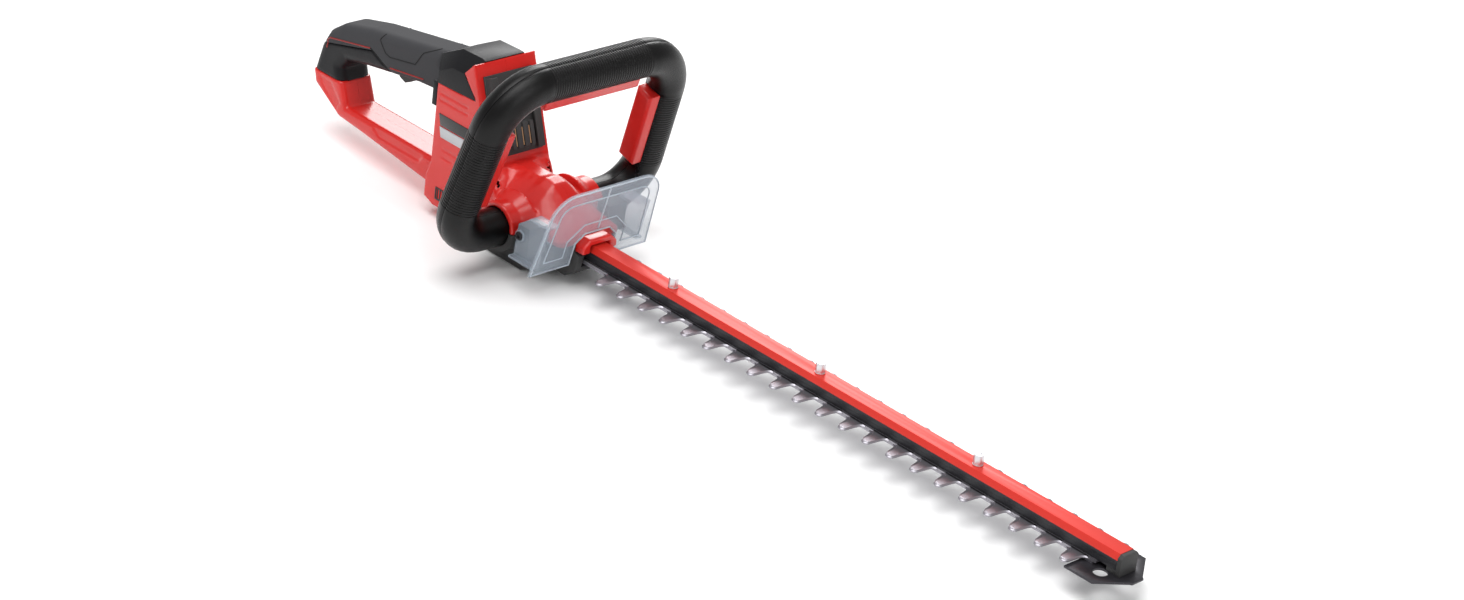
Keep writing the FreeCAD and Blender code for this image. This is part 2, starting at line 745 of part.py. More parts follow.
HOOP_FRAME = Placement(Vector(float(D.hoop_x), 0, float(D.split)),
                       Rotation(Vector(0, 1, 0), float(D.hoop_lean)))


def hoop_wire():
    """The tube's axis in the hoop's own plane, with its four bends."""
    leg = float(D.hoop_leg_end)
    low = float(D.hoop_low_half)
    top = float(D.hoop_top_half)
    rise = float(D.hoop_rise)
    corners = [(-leg, 0, 0), (-low, 0, float(D.hoop_low_bend)), (-top, rise, float(D.hoop_top_bend)),
               (top, rise, float(D.hoop_top_bend)), (low, 0, float(D.hoop_low_bend)), (leg, 0, 0)]
    edges = []
    start = Vector(0, corners[0][0], corners[0][1])
    for before, corner, after in zip(corners, corners[1:], corners[2:]):
        here = Vector(0, corner[0], corner[1])
        back = (Vector(0, before[0], before[1]) - here).normalize()
        onward = (Vector(0, after[0], after[1]) - here).normalize()
        half_angle = back.getAngle(onward) / 2
        reach = corner[2] / math.tan(half_angle)
        enter = here + back * reach
        leave = here + onward * reach
        to_centre = (back + onward).normalize()
        middle = here + to_centre * (corner[2] / math.sin(half_angle) - corner[2])
        edges.append(Part.LineSegment(start, enter).toShape())
        edges.append(Part.Arc(enter, middle, leave).toShape())
        start = leave
    edges.append(Part.LineSegment(start, Vector(0, corners[-1][0], corners[-1][1])).toShape())
    return Part.Wire(edges)


def hoop_tube(radius):
    """A solid tube of a radius along the hoop's axis."""
    wire = hoop_wire()
    circle = Part.Wire(Part.Circle(Vector(0, -float(D.hoop_leg_end), 0), Vector(0, -1, 0), radius).toShape())
    return wire.makePipeShell([circle], True, True)


def bar_seats():
    """Name, middle point, direction along the bar, direction out of the hoop and half length."""
    low = float(D.hoop_low_half)
    top = float(D.hoop_top_half)
    rise = float(D.hoop_rise)
    seats = [("top", Vector(0, 0, rise), Vector(0, 1, 0), Vector(0, 0, 1), top - float(D.hoop_top_bend))]
    straight_low = float(D.hoop_low_bend) + 6
    straight_high = rise - float(D.hoop_top_bend) + 4
    for name, side in (("right", -1), ("left", 1)):
        along = Vector(0, side * (top - low), rise).normalize()
        outward = Vector(0, side * rise, low - top).normalize()
        middle_rise = (straight_low + straight_high) / 2
        middle = Vector(0, side * (low + (top - low) * middle_rise / rise), middle_rise)
        seats.append((name, middle, along, outward, (straight_high - straight_low) / 2))
    return seats


def hoop_block(seat, half_width, half_length, depth_from, depth_to):
    """A block in a switch bar's own directions: depth runs from the tube's axis into the opening."""
    name, middle, along, outward, length = seat
    block = Part.makeBox(2 * half_width, 2 * half_length, depth_to - depth_from,
                         Vector(-half_width, -half_length, -depth_to))
    across = along.cross(outward)
    turn = Rotation(across, along, outward, "ZXY")
    return block.transformed(Placement(middle, turn).toMatrix())


def make_hoop():
    """The hoop's front and rear shells, its three switch bars and what is inside."""
    outer = float(D.tube)
    inner = outer - float(D.tube_wall)
    tube = hoop_tube(outer).cut(hoop_tube(inner))
    gap = float(D.part_gap)
    half = float(D.bar_width) / 2
    travel = float(D.bar_travel)
    lip_back = float(D.bar_lip_back)
    lip_half = float(D.bar_lip) / 2
    switches = []
    springs = []
    for seat in bar_seats():
        length = seat[4]
        tube = tube.cut(hoop_block(seat, half + gap, length + gap, inner * 0.4, outer + 5))
        stem = hoop_block(seat, half, length, lip_back + 1.4, outer + float(D.bar_proud))
        bar = stem.makeChamfer(2.5, [e for e in stem.Edges if far_edge(e, seat, outer + float(D.bar_proud))])
        lip = hoop_block(seat, lip_half, length - 3, lip_back, float(D.bar_lip_front))
        keep(shaped("switch_bar_" + seat[0], bar.fuse(lip).removeSplitter(), HOOP_FRAME),
             "switch_bar_" + seat[0])
        switches.append(hoop_block(seat, 4, 8, -inner + 2.5, lip_back - travel - 1))
        springs += [coil(seat, place * length * 0.6) for place in (-1, 1)]
    keep(shaped("bar_springs", Part.makeCompound(springs), HOOP_FRAME), "bar_springs")
    keep(shaped("bar_switches", Part.makeCompound(switches), HOOP_FRAME), "bar_switches")
    reach = 400
    ahead = Part.makeBox(reach, reach * 2, reach, Vector(0, -reach, -reach / 4))
    behind = Part.makeBox(reach, reach * 2, reach, Vector(-reach, -reach, -reach / 4))
    keep(shaped("hoop_front_shell", tube.common(ahead), HOOP_FRAME), "hoop_front_shell")
    keep(shaped("hoop_rear_shell", tube.common(behind), HOOP_FRAME), "hoop_rear_shell")


def far_edge(edge, seat, depth):
    """True for the edges of a bar's face that looks into the opening."""
    middle, outward = seat[1], seat[3]
    return all(abs((v.Point - middle).dot(outward) + depth) < 1e-6 for v in edge.Vertexes)


def coil(seat, place):
    """A return spring between a bar's lip and the tube's outer wall."""
    name, middle, along, outward, length = seat
    inner = float(D.tube) - float(D.tube_wall)
    lip_back = float(D.bar_lip_back)
    wire = 0.4
    tall = inner - 2.2 + lip_back - wire * 2
    helix = Part.makeHelix(tall / 6, tall, 3.2)
    circle = Part.Wire(Part.Circle(Vector(3.2, 0, 0), Vector(0, 1, 0), wire).toShape())
    spring = Part.Wire(helix.Edges).makePipeShell([circle], True, True)
    across = along.cross(outward)
    turn = Rotation(across, along, outward, "ZXY")
    base = middle + along * place - outward * (lip_back - wire - 0.1)
    return spring.transformed(Placement(base, turn).toMatrix())


# ---- Guard ----

def make_guard():
    """The clear hand guard with its side brackets, and its two screws."""
    body = new_body("tool_guard_plate")
    arch_top = D.nose_top - D.guard_low + 5
    outline = [
        (-D.guard_low_half, 0),
        (-D.guard_top_half, D.guard_tall),
        (D.guard_top_half, D.guard_tall),
        (D.guard_low_half, 0),
        (D.nose_half + 2.5, 0),
        (D.nose_half + 2.5, arch_top - 8),
        (D.nose_half - 6, arch_top),
        (-D.nose_half + 6, arch_top),
        (-D.nose_half - 2.5, arch_top - 8),
        (-D.nose_half - 2.5, 0),
    ]
    sketch = new_sketch(body, "YZ_Plane", 0)
    draw_outline(sketch, outline)
    add_pad(body, sketch, D.guard)
    tall = float(D.guard_tall)
    round_edges(body, D.guard_round, lambda e: len(e.Vertexes) == 2 and lies_at(e, tall)
                and abs(e.Vertexes[0].X - e.Vertexes[1].X) > 1)
    body.Placement = Placement(Vector(), Rotation(Vector(0, 1, 0), 1))
    bind(body, "Placement.Rotation.Angle", D.guard_lean)
    put(body, D.guard_x, 0, D.guard_low)
    web = [
        (D.guard_screw_x - 7, D.keel + 17),
        (D.guard_x + 1.5, D.keel + 17),
        (D.guard_x + 11.5, D.guard_screw_z + 20),
        (D.guard_screw_x + 10, D.guard_screw_z + 20),
        (D.guard_screw_x - 4, D.guard_screw_z + 10),
    ]
    webs = []
    for name, sign in (("right", 1), ("left", -1)):
        side = new_body(f"tool_web_{name}")
        offset = D.bracket_y - D.guard if sign > 0 else -D.bracket_y
        add_pad(side, outline_sketch(side, "XZ_Plane", web, offset), D.guard)
        webs.append(side)
        inner, outer = (D.bracket_y - 14, D.bracket_y) if sign > 0 else (-D.bracket_y, -D.bracket_y + 14)
        webs.append(box(f"tool_roof_{name}", (D.guard_screw_x + 9, -outer, D.guard_screw_z + 18),
                        (D.guard_x + 10, -inner, D.guard_screw_z + 20)))
        inner, outer = (D.bracket_y - 2, D.bracket_y + 5) if sign > 0 else (-D.bracket_y - 5, -D.bracket_y + 2)
        webs.append(box(f"tool_flange_{name}", (D.guard_screw_x - 8, -outer, D.keel + 15),
                        (D.guard_x + 1, -inner, D.keel + 17.5)))
    solid = fuse("tool_guard_solid", [body] + webs)
    hole = rod("tool_guard_hole", D.guard_screw_x, -D.bracket_y - 5, D.guard_screw_z, 2.2,
               D.bracket_y * 2 + 10, "Y")
    keep(cut("guard", solid, hole), "guard")
    screws = []
    for name, start, shank, head in (("right", -D.bracket_y - 3, -D.bracket_y, -D.bracket_y - 3),
                                     ("left", D.bracket_y - 12, D.bracket_y - 12, D.bracket_y)):
        stem = rod(f"tool_guard_stem_{name}", D.guard_screw_x, shank, D.guard_screw_z, 2, 12, "Y")
        cap = rod(f"tool_guard_cap_{name}", D.guard_screw_x, head, D.guard_screw_z, 4, 3, "Y")
        screws.append(fuse(f"tool_guard_screw_{name}", [stem, cap]))
    keep(group("guard_screws", screws), "guard_screws")


# ---- Rail and blades ----

def bolt_places():
    return [D.first_bolt + D.bolt_step * i for i in range(BOLTS)]


def make_rail():
    """Guide bar, profile, coloured cap, end cap and tip plate."""
    start = D.hood_front - 32
    bar = box("tool_guide_bar", (start, -D.rail_half, D.rail_seat), (D.bar_end, D.rail_half, D.guide_bar_top))
    rail_start = D.hood_front + 2
    profile = box("tool_profile", (rail_start, -D.profile_half, D.guide_bar_top),
                  (D.bar_end, D.profile_half, D.profile_top))
    hollow = box("tool_profile_hollow", (rail_start - 1, -D.profile_half + 3, D.guide_bar_top - 1),
                 (D.bar_end + 1, D.profile_half - 3, D.profile_top - 2))
    holes = [rod(f"tool_bolt_hole_{i}", x, 0, D.rail_seat - 5, D.bolt + D.part_gap / 2, 25)
             for i, x in enumerate(bolt_places())]
    bores = fuse("tool_bolt_holes", holes)
    screw_holes = [rod(f"tool_bar_hole_{i}", D.hood_front + x, 0, D.rail_seat - 5, 2.1, 20)
                   for i, x in enumerate((-22, -10))]
    keep(cut_all("guide_bar", bar, [bores] + screw_holes), "guide_bar")
    keep(cut_all("rail_profile", profile, [hollow, bores]), "rail_profile")
    cap = new_body("tool_cap")
    section = mirror_points([(-D.profile_half, D.profile_top), (-D.profile_half + D.cap_slant, D.cap_top)])
    add_pad(cap, outline_sketch(cap, "YZ_Plane", section, rail_start), D.bar_end - rail_start)
    keep(cut("rail_cap", cap, bores), "rail_cap")
    end = new_body("tool_end_plate")
    section = mirror_points([
        (-D.profile_half - 0.2, D.rail_seat - 3.8),
        (-D.profile_half - 0.2, D.cap_top - 3),
        (-D.profile_half + 2.5, D.cap_top - 0.4),
    ])
    add_pad(end, outline_sketch(end, "YZ_Plane", section, D.bar_end), 4)
    plate_low = D.rail_seat - D.blade * 2 - D.blade_gap * 3 - 2
    outline = [
        (D.plate_back, -D.plate_half),
        (D.plate_hole_x + 6, -D.plate_half),
        (D.plate_front - 2, -D.plate_half / 4),
        (D.plate_front, -D.plate_half / 5),
        (D.plate_front, D.plate_half / 5),
        (D.plate_front - 2, D.plate_half / 4),
        (D.plate_hole_x + 6, D.plate_half),
        (D.plate_back, D.plate_half),
    ]
    plate = flat_plate("tip_plate", outline, plate_low, 2)
    holes = circle_sketch(plate, "XY_Plane", [(D.plate_hole_x, -D.plate_hole_y, D.plate_hole),
                                              (D.plate_hole_x, D.plate_hole_y, D.plate_hole)], plate_low - 1)
    add_pocket(plate, holes, 4, reverse=True)
    keep(plate, "tip_plate")
    spacer = box("tool_tip_block", (D.plate_hole_x, -D.rail_half, plate_low + 2),
                 (D.bar_end + 1, D.rail_half, D.rail_seat))
    keep(fuse("rail_end_cap", [end, spacer]), "rail_end_cap")


def tooth_points(side, middle, root_half, tip_half, reach):
    """A tooth's outline: broad root, narrow body and a tip cut to three short edges."""
    edge = D.tooth_root - 1
    return [
        (middle - root_half, side * edge),
        (middle - tip_half, side * (D.tooth_root + 4)),
        (middle - tip_half, side * (reach - tip_half)),
        (middle - tip_half * 0.7, side * (reach - tip_half * 0.3)),
        (middle, side * reach),
        (middle + tip_half * 0.7, side * (reach - tip_half * 0.3)),
        (middle + tip_half, side * (reach - tip_half)),
        (middle + tip_half, side * (D.tooth_root + 4)),
        (middle + root_half, side * edge),
    ]


def make_blade(name, low, shift, tip_half, reach):
    """A blade: yoke round the crank, spine with bolt slots, and two rows of teeth."""
    body = new_body(name)
    yoke_half_x = D.eccentric + D.throw * 2 + 4.5
    yoke_half_y = D.eccentric + D.throw + 4.5
    last = D.first_tooth + D.pitch * (RIGHT_TEETH - 0.5) + 4
    spine = [
        (shift - yoke_half_x, -yoke_half_y),
        (shift + yoke_half_x, -yoke_half_y),
        (shift + yoke_half_x + 8, -D.tooth_root),
        (shift + last, -D.tooth_root),
        (shift + last, D.tooth_root),
        (shift + yoke_half_x + 8, D.tooth_root),
        (shift + yoke_half_x, yoke_half_y),
        (shift - yoke_half_x, yoke_half_y),
    ]
    add_pad(body, outline_sketch(body, "XY_Plane", spine, low), D.blade)
    for side, start, count in ((-1, D.first_tooth, RIGHT_TEETH),
                               (1, D.first_tooth - D.pitch / 2, LEFT_TEETH)):
        points = tooth_points(side, shift + start, D.tooth_tip + 3.5, tip_half, reach)
        tooth = add_pad(body, outline_sketch(body, "XY_Plane", points, low), D.blade)
        repeat_along_x(body, tooth, count, D.pitch)
    window_x = D.eccentric + D.throw * 2 + 0.5
    window_y = D.eccentric + D.throw + 0.5
    window = [
        (shift - window_x, -window_y),
        (shift + window_x, -window_y),
        (shift + window_x, window_y),
        (shift - window_x, window_y),
    ]
    add_pocket(body, outline_sketch(body, "XY_Plane", window, low - 1), D.blade + 2, reverse=True)
    slot_half = D.sleeve + D.throw + 0.6
    slot_wide = D.sleeve + 0.4
    slots = new_sketch(body, "XY_Plane", low - 1)
    for x in bolt_places():
        draw_outline(slots, [
            (shift + x - slot_half, -slot_wide),
            (shift + x + slot_half, -slot_wide),
            (shift + x + slot_half, slot_wide),
            (shift + x - slot_half, slot_wide),
        ])
    add_pocket(body, slots, D.blade + 2, reverse=True)
    keep(body, name)


def make_blades():
    upper_low = D.rail_seat - D.blade_gap - D.blade
    lower_low = upper_low - D.blade_gap - D.blade
    make_blade("upper_blade_plate", upper_low, D.blade_shift, D.tooth_tip, D.tooth_reach)
    make_blade("lower_blade_plate", lower_low, -D.blade_shift, D.tooth_tip - 1, D.tooth_reach - 5)
    under = lower_low - D.blade_gap
    bolts, sleeves, washers, nuts = [], [], [], []
    for i, x in enumerate(bolt_places()):
        head = rod(f"tool_bolt_head_{i}", x, 0, under - 4.2, 4.5, 2.7)
        stem = rod(f"tool_bolt_stem_{i}", x, 0, under - 4.2, D.bolt, D.cap_top - under + D.nut_tall + 4)
        bolts.append(fuse(f"tool_bolt_{i}", [head, stem]))
        sleeves.append(ring(f"tool_sleeve_{i}", x, 0, under, D.sleeve, D.bolt + D.fit_gap,
                            D.rail_seat - under))
        washers.append(ring(f"tool_washer_{i}", x, 0, under - 1.5, 9, D.bolt + D.fit_gap, 1.5))
        collar = rod(f"tool_nut_collar_{i}", x, 0, D.cap_top, 4.6, 1)
        flats = hexagon(f"tool_nut_flats_{i}", x, 0, D.cap_top + 1, 8, D.nut_tall - 1)
        bore = rod(f"tool_nut_bore_{i}", x, 0, D.cap_top - 1, D.bolt + D.fit_gap, D.nut_tall + 2)
        nuts.append(cut(f"tool_nut_{i}", fuse(f"tool_nut_solid_{i}", [collar, flats]), bore))
    keep(group("blade_bolts", bolts), "blade_bolts")
    keep(group("bolt_sleeves", sleeves), "bolt_sleeves")
    keep(group("bolt_washers", washers), "bolt_washers")
    keep(group("blade_nuts", nuts), "blade_nuts")


# ---- Gears ----

def gear_shape(teeth, thickness, bore, turn=0.0):
    """An involute spur gear of module 1 with stub teeth, 25 degree pressure angle and backlash."""
    pressure = math.radians(25)
    pitch_radius = teeth / 2
    base = pitch_radius * math.cos(pressure)
    tip = pitch_radius + 0.8
    root = pitch_radius - 1.05
    half_tooth = math.pi / (2 * teeth) - 0.05 / pitch_radius

    def spread(radius):
        """Half angle of the tooth at a radius."""
        angle = math.acos(min(1.0, base / max(radius, base)))
        involute = math.tan(angle) - angle
        return half_tooth + (math.tan(pressure) - pressure) - involute

    steps = 4
    start = max(root, base)
    flank = [root] + [start + (tip - start) * i / steps for i in range(steps + 1)]
    if root >= base:
        flank = flank[1:]
    points = []
    for tooth in range(teeth):
        middle = 2 * math.pi * tooth / teeth + turn
        for radius in flank:
            angle = middle - spread(radius)
            points.append(Vector(radius * math.cos(angle), radius * math.sin(angle), 0))
        for radius in reversed(flank):
            angle = middle + spread(radius)
            points.append(Vector(radius * math.cos(angle), radius * math.sin(angle), 0))
    face = Part.Face(Part.makePolygon(points + [points[0]]))
    gear = face.extrude(Vector(0, 0, thickness))
    if bore:
        gear = gear.cut(Part.makeCylinder(bore, thickness + 2, Vector(0, 0, -1)))
    return gear


def motor_x():
    return D.idler_x - (TEETH_IDLER_WHEEL + TEETH_MOTOR_PINION) / 2


def make_drive():
    """Crank with two eccentrics, idler and motor rotor, all on upright axes."""
    gear = gear_shape(TEETH_CRANK, float(D.crank_gear_thick), float(D.shaft + D.fit_gap))
    lightening = [Part.makeCylinder(4, 20, Vector(17 * math.cos(a), 17 * math.sin(a), -1))
                  for a in (math.radians(60 * i + 30) for i in range(6))]
    gear = gear.cut(Part.makeCompound(lightening))
    keep(shaped("crank_gear", gear, Placement(Vector(0, 0, float(D.crank_gear_z)), Rotation())), "crank_gear")
    upper_low = D.rail_seat - D.blade_gap - D.blade
    lower_low = upper_low - D.blade_gap - D.blade
    angle = math.asin(float(D.blade_shift) / float(D.throw))
    side_x = float(D.throw) * math.sin(angle)
    side_y = float(D.throw) * math.cos(angle)
    shaft_low = D.wall + 10.6
    shaft = Part.makeCylinder(float(D.shaft), float(D.case_top - shaft_low + 6), Vector(0, 0, float(shaft_low)))
    upper = Part.makeCylinder(float(D.eccentric), float(D.blade), Vector(side_x, side_y, float(upper_low)))
    lower = Part.makeCylinder(float(D.eccentric), float(D.blade), Vector(-side_x, -side_y, float(lower_low)))
    web = Part.makeCylinder(float(D.eccentric), float(D.blade_gap), Vector(0, 0, float(upper_low - D.blade_gap)))
    keep(shaped("crank_shaft", shaft.fuse([upper, lower, web])), "crank_shaft")
    hub = Part.makeCylinder(5.8, 9, Vector(0, 0, float(D.crank_gear_z) + 1))
    idler_bore = 3 + float(D.fit_gap)
    turn = math.pi / TEETH_IDLER_PINION
    pinion = gear_shape(TEETH_IDLER_PINION, float(D.crank_gear_thick) + 1, 0, turn)
    pinion.translate(Vector(0, 0, float(D.crank_gear_z) - 0.5))
    wheel = gear_shape(TEETH_IDLER_WHEEL, float(D.idler_wheel_thick), 0)
    wheel.translate(Vector(0, 0, float(D.idler_wheel_z)))
    idler = pinion.fuse([hub, wheel]).cut(Part.makeCylinder(idler_bore, 40, Vector(0, 0, 20)))
    keep(shaped("idler_gear", idler, Placement(Vector(float(D.idler_x), 0, 0), Rotation())), "idler_gear")
    x = motor_x()
    turn = math.pi / TEETH_MOTOR_PINION
    pinion = gear_shape(TEETH_MOTOR_PINION, 6.5, float(D.motor_shaft + D.fit_gap), turn)
    place = Placement(Vector(float(x), 0, float(D.idler_wheel_z) - 0.5), Rotation())
    keep(shaped("motor_pinion", pinion, place), "motor_pinion")
    low = D.case_top + 3
    shaft_start = D.idler_wheel_z - 1
    keep(rod("motor_shaft_rod", x, 0, shaft_start, D.motor_shaft, low + D.motor_long + 3.5 - shaft_start),
         "motor_shaft_rod")
    bore = D.motor_shaft + D.fit_gap
    keep(ring("armature", x, 0, low + 9, D.motor - 4.6, bore, D.motor_long - 22), "armature")
    keep(ring("commutator", x, 0, low + D.motor_long - 10, 5, bore, 7), "commutator")
    blades = [box(f"tool_fan_{i}", (4, -0.6, 0), (D.motor - 6, 0.6, 4)) for i in range(9)]
    for i, blade in enumerate(blades):
        blade.Placement = Placement(Vector(), Rotation(Vector(0, 0, 1), 40 * i))
    fan = cut("tool_fan_cut", fuse("tool_fan", blades + [rod("tool_fan_disc", 0, 0, 0, D.motor - 6, 1.2),
                                                         rod("tool_fan_hub", 0, 0, 0, 5, 4)]),
              rod("tool_fan_bore", 0, 0, -1, bore, 8))
    holder = group("motor_fan", [fan])
    put(holder, x, 0, low + 3.5)
    keep(holder, "motor_fan")


def make_motor_case():
    """What stays still round the rotor: can, magnets, brushes, end cap and bearings."""
    x = motor_x()
    low = D.case_top + 3
    inner = D.motor - 1.4
    shell = rod("tool_can", x, 0, low, D.motor, D.motor_long)
    room = rod("tool_can_room", x, 0, low + 2, inner, D.motor_long)
    mouth = rod("tool_can_mouth", x, 0, low - 1, 7.55, 10)
    vents = [box(f"tool_can_vent_{i}", (x - 25, y - 2, low + 3), (x + 25, y + 2, low + 8))
             for i, y in enumerate((-8, 8))]
    keep(cut_all("motor_can", shell, [room, mouth] + vents), "motor_can")
    magnet = ring("tool_magnet", x, 0, low + 8.5, inner - 0.1, D.motor - 4.2, D.motor_long - 21)
    halves = [common(f"tool_magnet_{i}", magnet, box(f"tool_magnet_side_{i}", (x - 25, a, low), (x + 25, b,
                                                                              low + D.motor_long)))
              for i, (a, b) in enumerate(((-25, -6), (6, 25)))]
    keep(group("motor_magnets", halves), "motor_magnets")
    cap_low = low + D.motor_long
    cap = rod("tool_end_cap", x, 0, cap_low, D.motor - 1, 7)
    skirt = ring("tool_end_skirt", x, 0, cap_low - 10, inner - 0.1, inner - 2.5, 10.5)
    seat = rod("tool_end_seat", x, 0, cap_low - 1, 5.05, 5)
    keep(cut("motor_end_cap", fuse("tool_end_solid", [cap, skirt]), seat), "motor_end_cap")
    brushes = [box(f"tool_brush_{i}", (x - 2, a, cap_low - 9), (x + 2, b, cap_low - 4))
               for i, (a, b) in enumerate(((-inner + 2.7, -5.1), (5.1, inner - 2.7)))]
    keep(group("motor_brushes", brushes), "motor_brushes")
    bearings = [
        ring("tool_motor_bearing_low", x, 0, low - 2.9, 7.5, D.motor_shaft + D.fit_gap, 4),
        ring("tool_motor_bearing_top", x, 0, cap_low, 5, D.motor_shaft + D.fit_gap, 4),
    ]
    keep(group("motor_bearings", bearings), "motor_bearings")


def make_gear_case():
    """Cast gear case, its cover, screws, idler pin and the crank's bearings."""
    crank_room = TEETH_CRANK / 2 + 0.8 + 1.5
    idler_room = TEETH_IDLER_WHEEL / 2 + 0.8 + 1.5
    x = motor_x()
    lug_places = [(24, -24), (24, 24), (D.idler_x - 24, -24), (D.idler_x - 24, 24)]

    def outline(name, low, thickness):
        lugs = [rod(f"{name}_lug_{i}", px, py, low, 4.5, thickness) for i, (px, py) in enumerate(lug_places)]
        return fuse(name, [
            rod(name + "_crank", 0, 0, low, crank_room + D.case_wall, thickness),
            rod(name + "_idler", D.idler_x, 0, low, idler_room + D.case_wall, thickness),
            box(name + "_motor", (x - 14, -18, low), (D.idler_x, 18, low + thickness)),
        ] + lugs)

    case_tall = D.case_top - D.case_floor
    nose = box("tool_case_nose", (0, -D.tooth_root - 1, D.guide_bar_top),
               (D.hood_front - 5, D.tooth_root + 1, D.split - D.part_gap))
    tub = fuse("tool_case_solid", [outline("tool_case", D.case_floor, case_tall), nose])
    floor = D.case_floor + 4
    rooms = [
        rod("tool_room_crank", 0, 0, floor, crank_room, case_tall),
        rod("tool_room_idler", D.idler_x, 0, floor, idler_room, case_tall),
        rod("tool_room_pinion", x, 0, floor, 8.5, case_tall),
        rod("tool_room_shaft", 0, 0, D.case_floor - 1, D.shaft + 1, 10),
        rod("tool_room_pin", D.idler_x, 0, D.case_floor - 1, 3, 10),
        rod("tool_room_bar_screw_0", D.hood_front - 22, 0, D.guide_bar_top - 1, 1.9, 7),
        rod("tool_room_bar_screw_1", D.hood_front - 10, 0, D.guide_bar_top - 1, 1.9, 7),
    ]
    screw_bores = [rod(f"tool_case_bore_{i}", px, py, D.case_top - 8, 1.6, 20)
                   for i, (px, py) in enumerate(lug_places)]
    keep(cut_all("gear_case", tub, rooms + screw_bores), "gear_case")
    lid = outline("tool_lid", D.case_top, 3)
    boss = rod("tool_lid_boss", 0, 0, D.case_top, D.bearing + 3, D.bearing_wide + 2)
    openings = [
        rod("tool_lid_bearing", 0, 0, D.case_top - 1, D.bearing + D.fit_gap, D.bearing_wide + 1.5),
        rod("tool_lid_shaft", 0, 0, D.case_top - 1, D.shaft + 1, 20),
        rod("tool_lid_motor", x, 0, D.case_top - 1, 7.55, 20),
        rod("tool_lid_pin", D.idler_x, 0, D.case_top - 1, 3, 20),
    ]
    keep(cut_all("gear_case_cover", fuse("tool_lid_solid", [lid, boss]), openings + screw_bores),
         "gear_case_cover")
    keep(rod("idler_pin", D.idler_x, 0, D.case_floor, 3, case_tall + 3), "idler_pin")
    bearings = [
        ring("tool_bearing_low", 0, 0, D.wall + 10.5, D.bearing, D.shaft + D.fit_gap, D.bearing_wide),
        ring("tool_bearing_high", 0, 0, D.case_top, D.bearing, D.shaft + D.fit_gap, D.bearing_wide),
    ]
    keep(group("crank_bearings", bearings), "crank_bearings")
    screws = []
    for i, (px, py) in enumerate(lug_places):
        stem = rod(f"tool_case_stem_{i}", px, py, D.case_top - 6, 1.6, 9)
        head = rod(f"tool_case_head_{i}", px, py, D.case_top + 3, 3, 2)
        screws.append(fuse(f"tool_case_screw_{i}", [stem, head]))
    keep(group("gear_case_screws", screws), "gear_case_screws")
    bar_screws = []
    for i, step in enumerate((-22, -10)):
        stem = rod(f"tool_bar_stem_{i}", D.hood_front + step, 0, D.guide_bar_top - 1, 1.9, 6.5)
        head = rod(f"tool_bar_head_{i}", D.hood_front + step, 0, D.rail_seat, 2.1, D.guide_bar_top - D.rail_seat)
        bar_screws.append(fuse(f"tool_bar_screw_{i}", [stem, head]))
    keep(group("bar_screws", bar_screws), "bar_screws")


# ---- Dock, electrics and trigger ----

def make_dock():
    """The battery's guide rails and terminal block on the leaning front of the tower."""
    lean = math.degrees(math.atan2(float(D.dock_foot_x - D.tower_peak_x), float(D.tower_peak - D.dock_floor)))
    frame = Placement(Vector(float(D.dock_foot_x), 0, float(D.dock_floor)), Rotation(Vector(0, 1, 0), -lean))
    plate = Part.makeBox(2, 56, 74, Vector(0, -28, 6))
    rails = []
    for side in (-1, 1):
        stem = Part.makeBox(4, 4, 70, Vector(2, side * 24 - 2, 8))
        head = Part.makeBox(2.4, 8, 70, Vector(6, side * 22 - 4, 8))
        rails += [stem, head]
    dock = plate.fuse(rails).removeSplitter()
    keep(shaped("battery_dock", dock, frame), "battery_dock")
    block = Part.makeBox(9, 26, 22, Vector(2, -13, 12))
    slots = [Part.makeBox(7, 2.4, 30, Vector(6, y - 1.2, 10)) for y in (-8, 0, 8)]
    keep(shaped("terminal_block", block.cut(Part.makeCompound(slots)), frame), "terminal_block")
    blades = [Part.makeBox(4, 0.8, 16, Vector(6, y - 0.4, 14)) for y in (-8, 0, 8)]
    keep(shaped("dock_contacts", Part.makeCompound(blades), frame), "dock_contacts")


